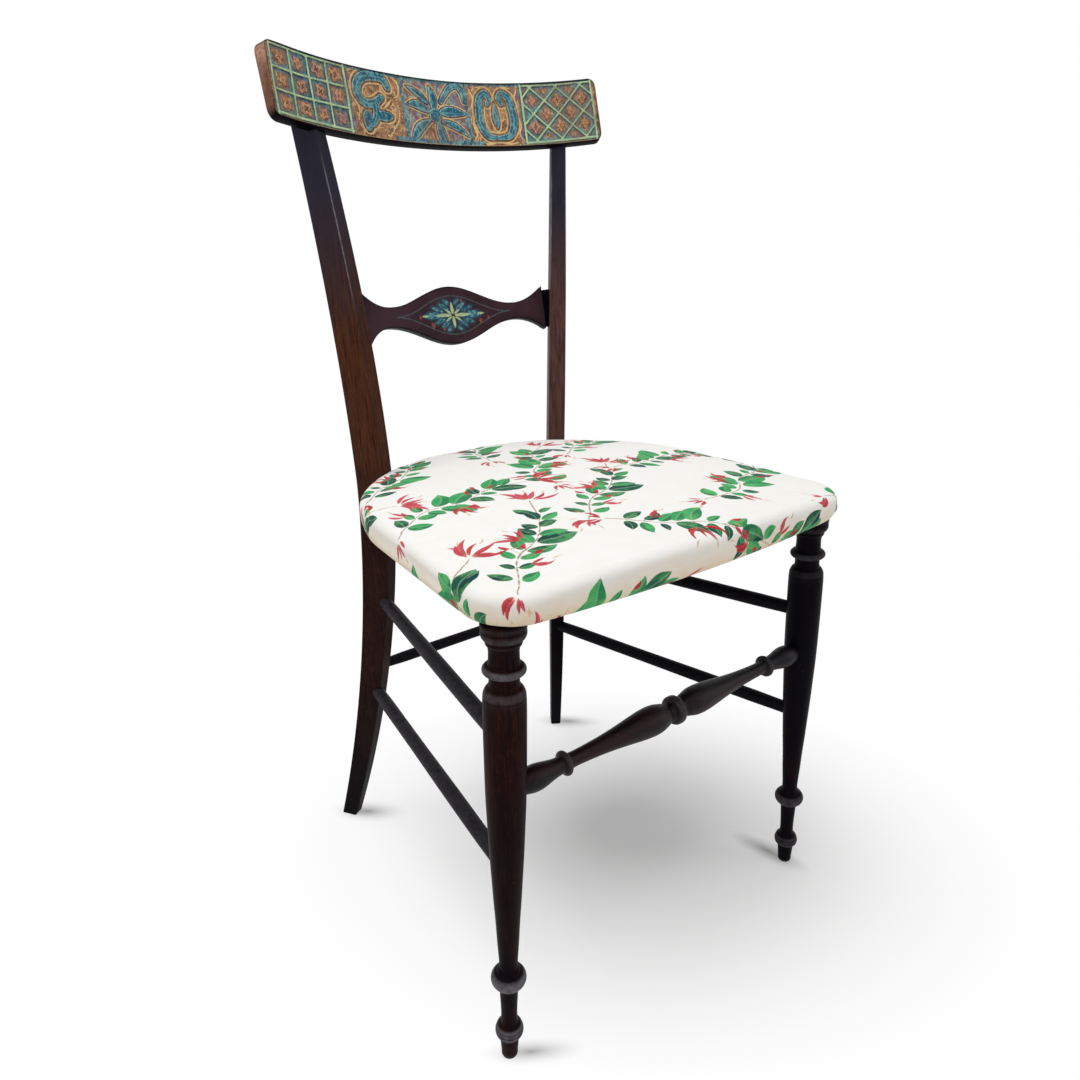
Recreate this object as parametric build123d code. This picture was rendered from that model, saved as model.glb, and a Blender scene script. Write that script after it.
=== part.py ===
from build123d import *
import os
from math import asin, cos, degrees, radians, sin, sqrt, tan

# Painted side chair with a bent crest tablet, sabre rear posts and turned front legs.
# Millimetres, +Z up, the sitter faces -Y, "left" is -X.
# The model is worked out with Y = 0 through the front feet and is moved at the end, so that
# the finished origin lies at the middle of the footprint, on the floor.

# ---------------------------------------------------------------- driving dimensions
# Stance
FOOT_INSET = 17.6                # middle of a front foot inside the widest part of the seat
LEG_SPLAY = 1.82                 # outward lean of the front legs, degrees
SEAT_UNDERSIDE = 419.3           # floor to the underside of the seat frame

# Front leg turning: heights above the floor, radii
TOE_RADIUS = 6.6
TOE_TOP_RADIUS = 8.2
TOE_TOP = 18.0
LOW_BEAD_HEIGHT = 32.5
LOW_BEAD_RADIUS = 11.7
LOW_BEAD_HALF = 8.5
BEAD_GROOVE = 0.8
ANKLE_RADIUS = 7.3
ANKLE_HEIGHT = 49.0
BALL_HEIGHT = 88.0
BALL_RADIUS = 15.1
BALL_NECK_RADIUS = 8.6
COLLET_RADIUS = 9.8
COLLET_HEIGHT = 2.4
SHAFT_LOW_RADIUS = 8.3
SHAFT_KNEE_RADIUS = 13.1
SHAFT_TOP_RADIUS = 16.6
# Front leg turning: depths below the seat frame
SHOULDER_DROP = 61.5
SHOULDER_ROUND = 7.5
NECK_RADIUS = 11.9
RING_DROP = 39.5
RING_RADIUS = 16.6
RING_HALF = 5.4
COLLAR_RADIUS = 17.2
COLLAR_BAND = 8.2
COLLAR_DEPTH = 18.5
LEG_TENON_RADIUS = 9.0
LEG_TENON_LENGTH = 20.0

# Rear post: one sawn piece from the floor to the crest, canted in plan
POST_CANT = 32.5                 # degrees between its front face and the chair's front
POST_PLAN_X = 111.0              # middle of its front face at the seat, in plan
POST_PLAN_Y = 310.6
POST_WAIST = 440.0               # height where the front edge stands upright
POST_SWEEP_POWER = 1.8           # how sharply the sweep and the tapers set in away from the waist
POST_FOOT_SETBACK = 88.0         # sweep of the front edge at the foot
POST_TOP_SETBACK = 38.3          # and at the top
POST_SPREAD = 1.88               # outward lean above the waist, degrees
POST_FOOT_WIDTH = 13.8
POST_SEAT_WIDTH = 19.3
POST_TOP_WIDTH = 14.6
POST_FOOT_DEPTH = 19.2
POST_SEAT_DEPTH = 32.5
POST_TOP_DEPTH = 23.5
POST_TOP = 820.0
POST_STATIONS = 4                # stations of the sawn curves below and above the waist
POST_EDGE = 1.1

# Crest tablet: a bent board, concave to the sitter, leaning back
CREST_CURVE = 432.6              # radius of its front face
CREST_HALF_ARC = 187.0           # half its length round the front face
CREST_HEIGHT = 65.0
CREST_THICKNESS = 12.0
CREST_RAKE = 16.4                # degrees
CREST_FRONT_Y = 345.3            # lower front edge on the centre plane
CREST_BOTTOM_Z = 765.4
CREST_CORNER = 8.0
CREST_EDGE = 1.3

# Mid rail: a waisted slat bent to the same sweep
MID_CURVE = 437.0
MID_THICKNESS = 10.5
MID_RAKE = 15.2
MID_FRONT_Y = 345.3
MID_CENTRE_Z = 599.3
MID_SWELL = 30.5                 # half height in the middle
MID_WAIST = 8.9                  # half height at the waist
MID_WAIST_X = 76.5
MID_TIP = 21.7                   # half height of the flared end
MID_TIP_X = 113.0
MID_TIP_LEAN = 1.3               # the upper tips stand this much further out than the middle
MID_FILLET = 18.5                # half height of the fillet beside the post
MID_FILLET_RECESS = 2.0          # the fillet's face lies behind the rail's face
MID_TENON_HALF = 12.0
MID_TENON_THICKNESS = 6.5
MID_TENON_DEPTH = 10.0

# Stretchers
FRONT_STRETCHER_Z = 274.0
FRONT_SOCKET_RADIUS = 8.2
FRONT_RING_RADIUS = 13.3
FRONT_RING_HALF = 6.6
FRONT_COVE_RADIUS = 8.9
FRONT_SWELL_RADIUS = 13.3
FRONT_SWELL_X = 29.0
FRONT_THIN_RADIUS = 6.4
FRONT_BEAD_GAP = 41.1             # from the leg's surface to the middle of the bead
FRONT_BEAD_RADIUS = 10.7
FRONT_BEAD_HALF = 5.6
FRONT_BULB_RADIUS = 10.8
FRONT_BULB_GAP = 9.0             # from the leg's surface to the fullest part of the end bulb
SIDE_STRETCHER_RADIUS = 7.1
SIDE_END_RADIUS = 6.7
SIDE_END_TAPER = 36.0
UPPER_SIDE_FRONT_Z = 317.4
UPPER_SIDE_BACK_Z = 304.0
LOWER_SIDE_FRONT_Z = 199.0
LOWER_SIDE_BACK_Z = 187.0
SIDE_ENTRY = 0.6                 # stretcher centre inside the post's outer front edge
REAR_STRETCHER_Z = 214.0
REAR_STRETCHER_RADIUS = 6.2
REAR_END_RADIUS = 5.2
SOCKET_DEPTH = 13.0
SOCKET_CLEARANCE = 0.1

# Seat outline, upholstered size
SEAT_FRONT_Y = -41.0
SEAT_FRONT_BOW = 15.0
SEAT_FRONT_HALF = 210.0
SEAT_BACK_HALF = 178.0
SEAT_BACK_Y = 346.0
SEAT_FRONT_CORNER = 46.0
SEAT_BACK_CORNER = 178.0
SEAT_SIDE_HEIGHT = 28.5
SEAT_CROWN = 12.5
SEAT_CROWN_SPAN = 250.0
SEAT_TOP_ROUND = 8.0
SEAT_BOTTOM_ROUND = 18.0

# Seat frame and filling
FRAME_SETBACK = 10.0             # frame edge inside the upholstered outline
FRAME_THICKNESS = 18.0
FRAME_WIDTH = 46.0
FRAME_LOWER_ROUND = SEAT_BOTTOM_ROUND - FRAME_SETBACK + 0.5
FRONT_RAIL_BACK_Y = 24.0
REAR_RAIL_FRONT_Y = 235.0
LUG_MARGIN = 1.5                 # post lug narrower than the post on each side
LUG_REACH = 16.0
CORNER_BLOCK = 42.0
CORNER_BLOCK_HEIGHT = 16.0
DOWEL_RADIUS = 4.0
DOWEL_LENGTH = 30.0
FRONT_DOWELS_INSET = (49.0, 21.0)  # inside the widest part of the seat
REAR_DOWELS_REACH = (19.0, 33.0)  # outside the middle of the post's face
DOWEL_CLEARANCE = 0.1
WEBBING_WIDTH = 50.0
WEBBING_THICKNESS = 1.5
WEBBING_COUNT = 4
WEBBING_INSET = 14.0
WEBBING_MARGIN = 48.0             # webbed middle inside the back corners of the seat
WEBBING_FRONT_Y = 8.0
HESSIAN_THICKNESS = 0.8
COVER_THICKNESS = 1.0
COVER_RETURN = 26.0              # cloth turned under the frame
DUST_CLOTH_THICKNESS = 0.6
DUST_CLOTH_INSET = 21.0
SOFT_GAP = 0.3                   # soft pieces clear of their neighbours

# ---------------------------------------------------------------- derived sizes
FOOT_X = SEAT_FRONT_HALF - FOOT_INSET
WEBBING_REACH = SEAT_BACK_HALF - WEBBING_MARGIN
FRAME_TOP = SEAT_UNDERSIDE + FRAME_THICKNESS
WEB_LONG_Z = FRAME_TOP
WEB_CROSS_Z = WEB_LONG_Z + WEBBING_THICKNESS
HESSIAN_Z = WEB_CROSS_Z + WEBBING_THICKNESS
STUFFING_Z = HESSIAN_Z + HESSIAN_THICKNESS
COVER_Z = SEAT_UNDERSIDE - COVER_THICKNESS
PAD_EDGE_Z = COVER_Z + SEAT_SIDE_HEIGHT
PAD_TOP_Z = PAD_EDGE_Z + SEAT_CROWN
FAR = 1000.0                     # reach of the cutting blocks


# ---------------------------------------------------------------- helpers
def both_sides(solid):
    """The right-hand piece and its mirror image for the left."""
    return {"right": solid, "left": mirror(solid, Plane.YZ)}


def rod(start, end, radius):
    """Straight cylinder between two points."""
    start, end = Vector(*start), Vector(*end)
    plane = Plane(origin=start, z_dir=(end - start).normalized())
    return plane * Cylinder(radius, (end - start).length, align=(Align.CENTER, Align.CENTER, Align.MIN))


def toward(start, end, distance):
    """Point on the line from start to end, distance past end (before it if negative)."""
    start, end = Vector(*start), Vector(*end)
    return end + (end - start).normalized() * distance


def slab(face, low, high):
    """A plan outline given thickness between two heights."""
    return extrude(Pos(0, 0, low) * face, amount=high - low)


def block(x0, x1, y0, y1, z0, z1):
    """Box from its limits."""
    size = Box(x1 - x0, y1 - y0, z1 - z0)
    return Pos((x0 + x1) / 2, (y0 + y1) / 2, (z0 + z1) / 2) * size


# ---------------------------------------------------------------- front legs
def leg_axis(z):
    """Point on the right front leg's axis at a height."""
    return Vector(FOOT_X - tan(radians(LEG_SPLAY)) * z, 0, z)


def bead(centre, half, radius, root):
    """Half-round bead between two points of a turning outline."""
    return ThreePointArc((root, centre - half), (radius, centre), (root, centre + half))


def leg_turning():
    """Half outline of the leg from the toe to above the collar, radius against height."""
    top = SEAT_UNDERSIDE
    shoulder = top - SHOULDER_DROP
    ring = top - RING_DROP
    bead_low = LOW_BEAD_HEIGHT - LOW_BEAD_HALF
    bead_high = LOW_BEAD_HEIGHT + LOW_BEAD_HALF
    ball_rise = sqrt(BALL_RADIUS ** 2 - BALL_NECK_RADIUS ** 2)
    shaft_low = BALL_HEIGHT + ball_rise + COLLET_HEIGHT
    shaft = shoulder - shaft_low
    band = top - COLLAR_BAND
    cup = top - COLLAR_DEPTH
    groove = LOW_BEAD_RADIUS - BEAD_GROOVE
    edges = [
        Line((0, -2), (TOE_RADIUS, -2)),
        Line((TOE_RADIUS, -2), (TOE_RADIUS, 0)),
        ThreePointArc((TOE_RADIUS, 0), (TOE_TOP_RADIUS - 0.4, TOE_TOP / 2), (TOE_TOP_RADIUS, TOE_TOP)),
        Line((TOE_TOP_RADIUS, TOE_TOP), (TOE_TOP_RADIUS + 0.6, bead_low)),
        ThreePointArc(
            (TOE_TOP_RADIUS + 0.6, bead_low),
            (LOW_BEAD_RADIUS - 0.5, LOW_BEAD_HEIGHT - LOW_BEAD_HALF / 2),
            (groove, LOW_BEAD_HEIGHT),
        ),
        ThreePointArc(
            (groove, LOW_BEAD_HEIGHT),
            (LOW_BEAD_RADIUS - 0.6, LOW_BEAD_HEIGHT + LOW_BEAD_HALF / 2),
            (ANKLE_RADIUS + 1.2, bead_high),
        ),
        ThreePointArc(
            (ANKLE_RADIUS + 1.2, bead_high),
            (ANKLE_RADIUS, ANKLE_HEIGHT),
            (BALL_NECK_RADIUS, BALL_HEIGHT - ball_rise),
        ),
        bead(BALL_HEIGHT, ball_rise, BALL_RADIUS, BALL_NECK_RADIUS),
        Line((BALL_NECK_RADIUS, BALL_HEIGHT + ball_rise), (COLLET_RADIUS, BALL_HEIGHT + ball_rise)),
        Line((COLLET_RADIUS, BALL_HEIGHT + ball_rise), (SHAFT_LOW_RADIUS, shaft_low)),
        Spline(
            (SHAFT_LOW_RADIUS, shaft_low),
            (SHAFT_KNEE_RADIUS, shaft_low + 0.38 * shaft),
            (0.985 * SHAFT_TOP_RADIUS, shaft_low + 0.77 * shaft),
            (SHAFT_TOP_RADIUS, shoulder),
        ),
        ThreePointArc(
            (SHAFT_TOP_RADIUS, shoulder),
            (SHAFT_TOP_RADIUS - 0.32 * SHOULDER_ROUND, shoulder + 0.72 * SHOULDER_ROUND),
            (NECK_RADIUS + 0.6, shoulder + SHOULDER_ROUND + 2),
        ),
        Line((NECK_RADIUS + 0.6, shoulder + SHOULDER_ROUND + 2), (NECK_RADIUS, ring - RING_HALF)),
        bead(ring, RING_HALF, RING_RADIUS, NECK_RADIUS),
        Line((NECK_RADIUS, ring + RING_HALF), (NECK_RADIUS, cup - 3)),
        ThreePointArc((NECK_RADIUS, cup - 3), (NECK_RADIUS + 1.3, cup + 2.2), (COLLAR_RADIUS - 2.2, cup + 5.4)),
        bead_arc_to_band(cup + 5.4, band),
        Line((COLLAR_RADIUS, band), (COLLAR_RADIUS, top + 2)),
        Line((COLLAR_RADIUS, top + 2), (0, top + 2)),
        Line((0, top + 2), (0, -2)),
    ]
    return edges


def bead_arc_to_band(low, high):
    """Rounded lip under the collar's plain band."""
    return ThreePointArc((COLLAR_RADIUS - 2.2, low), (COLLAR_RADIUS - 0.2, (low + high) / 2), (COLLAR_RADIUS, high))


def front_leg():
    """Right front leg: turned, splayed, levelled at the floor and under the frame, with a round tenon."""
    face = make_face(leg_turning())
    upright = Plane.XZ * face
    turned = revolve(upright, Axis.Z)
    leaning = Pos(FOOT_X, 0, 0) * Rot(0, -LEG_SPLAY, 0) * turned
    levelled = leaning & block(-FAR, FAR, -FAR, FAR, 0, SEAT_UNDERSIDE)
    leg = levelled + leg_tenon(0)
    return leg - leg_sockets()


def leg_tenon(clearance):
    """Round tenon in line with the leg; with a clearance it is the hole for it."""
    return rod(leg_axis(SEAT_UNDERSIDE - 10), leg_axis(SEAT_UNDERSIDE + LEG_TENON_LENGTH), LEG_TENON_RADIUS + clearance)


def leg_sockets():
    """Holes in the right front leg for the three stretchers that end in it."""
    front = leg_axis(FRONT_STRETCHER_Z)
    holes = rod(front, front - Vector(2 * COLLAR_RADIUS, 0, 0), FRONT_SOCKET_RADIUS + SOCKET_CLEARANCE)
    holes = Pos(socket_bottom_shift(), 0, 0) * holes
    for ends in side_stretcher_lines():
        start, end = ends
        inner = toward(end, start, -leg_socket_start())
        holes += rod(inner, end, SIDE_END_RADIUS + SOCKET_CLEARANCE)
    return holes


def socket_bottom_shift():
    """How far the front stretcher's socket stops short of, or passes, the leg's axis."""
    return SOCKET_DEPTH - SHAFT_TOP_RADIUS


def leg_socket_start():
    """Distance from the leg's axis to the bottom of a side stretcher's socket."""
    return SHAFT_TOP_RADIUS - SOCKET_DEPTH


# ---------------------------------------------------------------- rear posts
def post_sweep(z):
    """0 at the waist, 1 at the foot and at the top; every post curve follows it."""
    span = POST_WAIST if z < POST_WAIST else POST_TOP - POST_WAIST
    return (abs(z - POST_WAIST) / span) ** POST_SWEEP_POWER


def post_blend(z, foot, waist, top):
    """A size that goes from its waist value to its foot or top value along the sweep."""
    end = foot if z < POST_WAIST else top
    return waist + (end - waist) * post_sweep(z)


def post_front(z):
    """Set-back of the post's front edge from the waist's upright."""
    return post_blend(z, POST_FOOT_SETBACK, 0.0, POST_TOP_SETBACK)


def post_width(z):
    return post_blend(z, POST_FOOT_WIDTH, POST_SEAT_WIDTH, POST_TOP_WIDTH)


def post_depth(z):
    return post_blend(z, POST_FOOT_DEPTH, POST_SEAT_DEPTH, POST_TOP_DEPTH)


def post_lean(z):
    """Outward shift of the post's middle above the waist."""
    return tan(radians(POST_SPREAD)) * max(0.0, z - POST_WAIST)


def post_levels():
    """Heights of the stations the sawn curves pass through, floor to top."""
    count = POST_STATIONS
    below = [POST_WAIST * index / count for index in range(count)]
    above = [POST_WAIST + (POST_TOP - POST_WAIST) * index / count for index in range(count + 1)]
    return below + above


def post_frame():
    """Plan frame of the right post: X outward across it, Y back along its depth."""
    return Pos(POST_PLAN_X, POST_PLAN_Y, 0) * Rot(0, 0, -POST_CANT)


def post_point(z, across, back):
    """World point at a height: across from the post's middle, back from its front edge."""
    local_x, local_y = post_lean(z) + across, post_front(z) + back
    cant = radians(-POST_CANT)
    x = POST_PLAN_X + local_x * cos(cant) - local_y * sin(cant)
    y = POST_PLAN_Y + local_x * sin(cant) + local_y * cos(cant)
    return Vector(x, y, z)


def sawn_face(low_side, high_side):
    """Outline between two sawn curves, each given as a size against height."""
    levels = post_levels()
    first = [(low_side(z), z) for z in levels]
    second = [(high_side(z), z) for z in levels]
    return make_face([Spline(*first), Spline(*second), Line(first[0], second[0]), Line(first[-1], second[-1])])


def post_side_face(grow):
    """Sabre outline seen from the side."""
    return sawn_face(lambda z: post_front(z) - grow, lambda z: post_front(z) + post_depth(z) + grow)


def post_elevation_face(grow):
    """Tapered outline seen from the front, spreading above the waist."""
    return sawn_face(
        lambda z: post_lean(z) - post_width(z) / 2 - grow,
        lambda z: post_lean(z) + post_width(z) / 2 + grow,
    )


def post_blank(grow=0.0):
    """Right post before its joints are cut: one outline sawn each way."""
    side = extrude(Plane.YZ * post_side_face(grow), amount=60, both=True)
    elevation = extrude(Plane.XZ * post_elevation_face(grow), amount=300, both=True)
    return post_frame() * (side & elevation)


def rear_post():
    """Right rear post with eased long edges, a housing for the crest, mortises and sockets."""
    blank = post_blank()
    long_edges = [edge for edge in blank.edges() if edge.length > POST_WAIST / 2]
    eased = fillet(long_edges, POST_EDGE)
    post = eased - crest_board(SOCKET_CLEARANCE)
    post -= mid_tenon_slot()
    post -= post_sockets()
    return biggest(post - frame_dowel_holes())


def post_sockets():
    """Holes for the two side stretchers and the rear stretcher."""
    holes = None
    for start, end in side_stretcher_lines():
        hole = rod(toward(start, end, -20), toward(start, end, SOCKET_DEPTH), SIDE_END_RADIUS + SOCKET_CLEARANCE)
        holes = hole if holes is None else holes + hole
    x_end, y = rear_stretcher_end()
    radius = REAR_END_RADIUS + SOCKET_CLEARANCE
    return holes + rod((0, y, REAR_STRETCHER_Z), (x_end, y, REAR_STRETCHER_Z), radius)


# ---------------------------------------------------------------- bent back pieces
def bent_sector(radius, thickness, half_arc, low, high, grow=0.0):
    """Piece of a bent board: a ring sector, its front face through the origin."""
    angle = degrees(half_arc / radius)
    inner, outer = radius - grow, radius + thickness + grow
    start, sweep = 90 - angle, 2 * angle
    centre = (0, -radius)
    inside = CenterArc(centre, inner, start, sweep)
    outside = CenterArc(centre, outer, start, sweep)
    edges = [inside, outside, Line(inside @ 0, outside @ 0), Line(inside @ 1, outside @ 1)]
    return extrude(Pos(0, 0, low) * make_face(edges), amount=high - low)


def crest_place():
    return Pos(0, CREST_FRONT_Y, CREST_BOTTOM_Z) * Rot(-CREST_RAKE, 0, 0)


def crest_board(grow):
    """The crest's board in place without its roundings; grown, it is the housing for it."""
    board = bent_sector(CREST_CURVE, CREST_THICKNESS, CREST_HALF_ARC + grow, -grow, CREST_HEIGHT + grow, grow)
    return crest_place() * board


def crest_rail():
    """Bent crest tablet with rounded corners and eased edges."""
    board = bent_sector(CREST_CURVE, CREST_THICKNESS, CREST_HALF_ARC, 0, CREST_HEIGHT)
    corners = [edge for edge in board.edges() if abs(edge.length - CREST_THICKNESS) < 0.01]
    board = fillet(corners, CREST_CORNER)
    rims = board.faces().sort_by(Axis.Y)
    front_and_back = [face for face in rims if face.area > CREST_HEIGHT * CREST_HALF_ARC]
    board = fillet([edge for face in front_and_back for edge in face.edges()], CREST_EDGE)
    return crest_place() * board


def mid_place():
    return Pos(0, MID_FRONT_Y, MID_CENTRE_Z) * Rot(-MID_RAKE, 0, 0)


def mid_outline():
    """Waisted outline of the mid rail up to its flared tips."""
    edges = []
    tips = []
    for up in (1, -1):
        tip = (MID_TIP_X + up * MID_TIP_LEAN, up * MID_TIP)
        half = [
            Spline(
                (0, up * MID_SWELL),
                (0.5 * MID_WAIST_X, up * (0.5 * (MID_SWELL + MID_WAIST) + 1.0)),
                (MID_WAIST_X, up * MID_WAIST),
                tangents=[(1, 0), (1, 0)],
            ),
            Spline((MID_WAIST_X, up * MID_WAIST), tip, tangents=[(1, 0), (0.62, up)]),
        ]
        edges += half + [mirror(edge, Plane.YZ) for edge in half]
        tips.append(tip)
    end = Line(*tips)
    return make_face(edges + [end, mirror(end, Plane.YZ)])


def mid_fillet_outline():
    """Plain strip from tip to tip that shows beside the posts as a recessed fillet."""
    reach = MID_TIP_X + 24
    top = (MID_TIP_X + MID_TIP_LEAN - 1, MID_TIP - 1.2)
    low = (MID_TIP_X - MID_TIP_LEAN - 1, 1.2 - MID_TIP)
    right = Polyline((0, 3), (MID_WAIST_X, 3), top, (reach - 15, MID_FILLET), (reach, MID_FILLET), (reach, 0))
    lower = Polyline((0, -3), (MID_WAIST_X, -3), low, (reach - 15, -MID_FILLET), (reach, -MID_FILLET), (reach, 0))
    edges = right.edges() + lower.edges()
    return make_face(edges + [mirror(edge, Plane.YZ) for edge in edges])


def mid_tenon(grow):
    """Both tenons of the mid rail as one curved tongue; grown, it is the mortise."""
    inset = (MID_THICKNESS - MID_TENON_THICKNESS) / 2
    half = MID_TENON_HALF + grow
    half_arc = mid_shoulder_arc() + MID_TENON_DEPTH + grow
    board = bent_sector(MID_CURVE + inset, MID_TENON_THICKNESS, half_arc, -half, half, grow)
    return mid_place() * Pos(0, inset, 0) * board


def mid_shoulder_arc():
    """Distance round the mid rail's front face to the middle of its shoulder at the post."""
    middle = post_point(MID_CENTRE_Z, -post_width(MID_CENTRE_Z) / 2, post_depth(MID_CENTRE_Z) * 0.55)
    return MID_CURVE * asin(middle.X / MID_CURVE)


def mid_layer(outline, recess):
    """A sawn outline cut from the bent board, its face set back by the recess."""
    reach = MID_CURVE * asin((MID_TIP_X + 24) / MID_CURVE)
    high = MID_SWELL + 5
    board = bent_sector(MID_CURVE + recess, MID_THICKNESS - recess, reach, -high, high)
    pattern = extrude(Plane.XZ * outline, amount=200, both=True)
    return Pos(0, recess, 0) * board & pattern


def mid_rail():
    """Waisted mid rail, shouldered against the posts, with stub tenons."""
    slat = mid_layer(mid_outline(), 0) + mid_layer(mid_fillet_outline(), MID_FILLET_RECESS)
    post = post_blank()
    slat = biggest(mid_place() * slat - post - mirror(post, Plane.YZ))
    return slat + mid_tenon(0)


def mid_tenon_slot():
    return mid_tenon(SOCKET_CLEARANCE) & block(0, FAR, -FAR, FAR, 0, FAR)


def biggest(shape):
    """The main solid of a cut piece, without its off-cuts."""
    return shape.solids().sort_by(SortBy.VOLUME)[-1]


# ---------------------------------------------------------------- stretchers
def side_stretcher_lines():
    """Leg and post ends of the right upper and lower side stretchers."""
    lines = []
    for front_z, back_z in ((UPPER_SIDE_FRONT_Z, UPPER_SIDE_BACK_Z), (LOWER_SIDE_FRONT_Z, LOWER_SIDE_BACK_Z)):
        entry = post_point(back_z, post_width(back_z) / 2 - SIDE_ENTRY, 0)
        lines.append((leg_axis(front_z), entry))
    return lines


def round_stretcher(start, end, radius, end_radius, taper):
    """Dowel-shaped stretcher that thins towards both ends."""
    start, end = Vector(*start), Vector(*end)
    length = (end - start).length
    outline = Polyline(
        (0, 0), (end_radius, 0), (end_radius, taper / 2), (radius, 1.5 * taper),
        (radius, length - 1.5 * taper), (end_radius, length - taper / 2), (end_radius, length), (0, length),
        close=True,
    )
    turned = revolve(Plane.XZ * make_face(outline), Axis.Z)
    return Plane(origin=start, z_dir=(end - start).normalized()) * turned


def side_stretcher(index):
    """Right side stretcher, upper (0) or lower (1), seated in its two sockets."""
    start, end = side_stretcher_lines()[index]
    inner = toward(end, start, -leg_socket_start() - SOCKET_CLEARANCE)
    outer = toward(start, end, SOCKET_DEPTH - SOCKET_CLEARANCE)
    return round_stretcher(inner, outer, SIDE_STRETCHER_RADIUS, SIDE_END_RADIUS, SIDE_END_TAPER)


def rear_stretcher_end():
    """Bottom of the rear stretcher's socket and the stretcher's line in plan."""
    z = REAR_STRETCHER_Z
    mouth = post_point(z, -post_width(z) / 2, post_depth(z) / 2)
    return mouth.X + 0.75 * SOCKET_DEPTH, mouth.Y


def rear_stretcher():
    x_end, y = rear_stretcher_end()
    x_end -= SOCKET_CLEARANCE
    start, end = (-x_end, y, REAR_STRETCHER_Z), (x_end, y, REAR_STRETCHER_Z)
    return round_stretcher(start, end, REAR_STRETCHER_RADIUS, REAR_END_RADIUS, SIDE_END_TAPER)


def front_stretcher():
    """Turned front stretcher: centre ring, two vases, two beads and end bulbs."""
    leg_x = leg_axis(FRONT_STRETCHER_Z).X
    surface = leg_x - SHAFT_TOP_RADIUS
    end = surface + SOCKET_DEPTH - SOCKET_CLEARANCE
    bulb = surface - FRONT_BULB_GAP
    cove = FRONT_RING_HALF + 2.6
    bead_x = surface - FRONT_BEAD_GAP
    bead_in, bead_out = bead_x - FRONT_BEAD_HALF, bead_x + FRONT_BEAD_HALF
    vase = bead_in - FRONT_SWELL_X
    root = FRONT_THIN_RADIUS + 0.9
    half = [
        bead(0, FRONT_RING_HALF, FRONT_RING_RADIUS, FRONT_COVE_RADIUS + 0.3),
        Line((FRONT_COVE_RADIUS + 0.3, FRONT_RING_HALF), (FRONT_COVE_RADIUS, cove)),
        Spline(
            (FRONT_COVE_RADIUS, cove),
            (FRONT_SWELL_RADIUS, FRONT_SWELL_X),
            (0.74 * FRONT_SWELL_RADIUS, FRONT_SWELL_X + 0.38 * vase),
            (FRONT_THIN_RADIUS + 0.5, FRONT_SWELL_X + 0.74 * vase),
            (FRONT_THIN_RADIUS, bead_in - 3),
        ),
        Line((FRONT_THIN_RADIUS, bead_in - 3), (root, bead_in)),
        bead(bead_x, FRONT_BEAD_HALF, FRONT_BEAD_RADIUS, root),
        Line((root, bead_out), (root, bead_out + 2)),
        Spline((root, bead_out + 2), (FRONT_BULB_RADIUS, bulb), (FRONT_SOCKET_RADIUS, surface)),
        Line((FRONT_SOCKET_RADIUS, surface), (FRONT_SOCKET_RADIUS, end)),
        Line((FRONT_SOCKET_RADIUS, end), (0, end)),
    ]
    edges = list(half[:1])
    for edge in half[1:]:
        edges += [edge, mirror(edge, Plane.XZ)]
    edges.append(Line((0, -end), (0, end)))
    turned = revolve(Plane.XZ * make_face(edges), Axis.Z)
    return Pos(0, 0, FRONT_STRETCHER_Z) * Rot(0, 90, 0) * turned


# ---------------------------------------------------------------- seat frame
def seat_outline(inset):
    """Plan of the seat: bowed front, tight front corners, a back swept into one wide curve."""
    front_corner_y = SEAT_FRONT_Y + SEAT_FRONT_BOW
    left, right = (-SEAT_FRONT_HALF, front_corner_y), (SEAT_FRONT_HALF, front_corner_y)
    back_left, back_right = (-SEAT_BACK_HALF, SEAT_BACK_Y), (SEAT_BACK_HALF, SEAT_BACK_Y)
    edges = [
        ThreePointArc(left, (0, SEAT_FRONT_Y), right),
        Line(right, back_right),
        Line(back_right, back_left),
        Line(back_left, left),
    ]
    face = make_face(edges)
    if inset:
        face = offset(face, amount=-inset, kind=Kind.INTERSECTION)
    in_front = [corner for corner in face.vertices() if corner.Y < FRONT_RAIL_BACK_Y + FRAME_WIDTH]
    face = fillet(in_front, max(SEAT_FRONT_CORNER - inset, 1.0))
    at_back = [corner for corner in face.vertices() if corner.Y > SEAT_BACK_Y - inset - 0.01]
    return fillet(at_back, SEAT_BACK_CORNER - inset)


def frame_board():
    """Outer form of the seat frame, its lower edge rounded under."""
    board = slab(seat_outline(FRAME_SETBACK), SEAT_UNDERSIDE, FRAME_TOP)
    underside = board.faces().sort_by(Axis.Z)[0]
    return fillet(underside.edges(), FRAME_LOWER_ROUND)


def frame_opening():
    """Open middle of the frame behind the front rail."""
    opening = slab(seat_outline(FRAME_SETBACK + FRAME_WIDTH), SEAT_UNDERSIDE - 1, FRAME_TOP + 1)
    return opening & block(-FAR, FAR, FRONT_RAIL_BACK_Y, FAR, 0, FAR)


def seat_rail_front():
    """Front rail: carries the tenons of both front legs."""
    rail = frame_board() & block(-FAR, FAR, -FAR, FRONT_RAIL_BACK_Y, 0, FAR)
    hole = leg_tenon(SOCKET_CLEARANCE)
    rail = rail - hole - mirror(hole, Plane.YZ)
    return rail - frame_dowel_holes() - mirror(frame_dowel_holes(), Plane.YZ)


def seat_rail_side():
    """Right side rail."""
    rail = frame_board() & block(0, FAR, FRONT_RAIL_BACK_Y, REAR_RAIL_FRONT_Y, 0, FAR)
    return rail - frame_opening() - frame_dowel_holes()


def post_lug(grow, drop=0.0):
    """Square nib of the rear rail that reaches the post's front face."""
    half = post_width(SEAT_UNDERSIDE) / 2 - LUG_MARGIN + grow
    low, high = SEAT_UNDERSIDE - grow - drop, FRAME_TOP + grow
    return post_frame() * block(-half, half, -LUG_REACH, 2, low, high)


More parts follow.
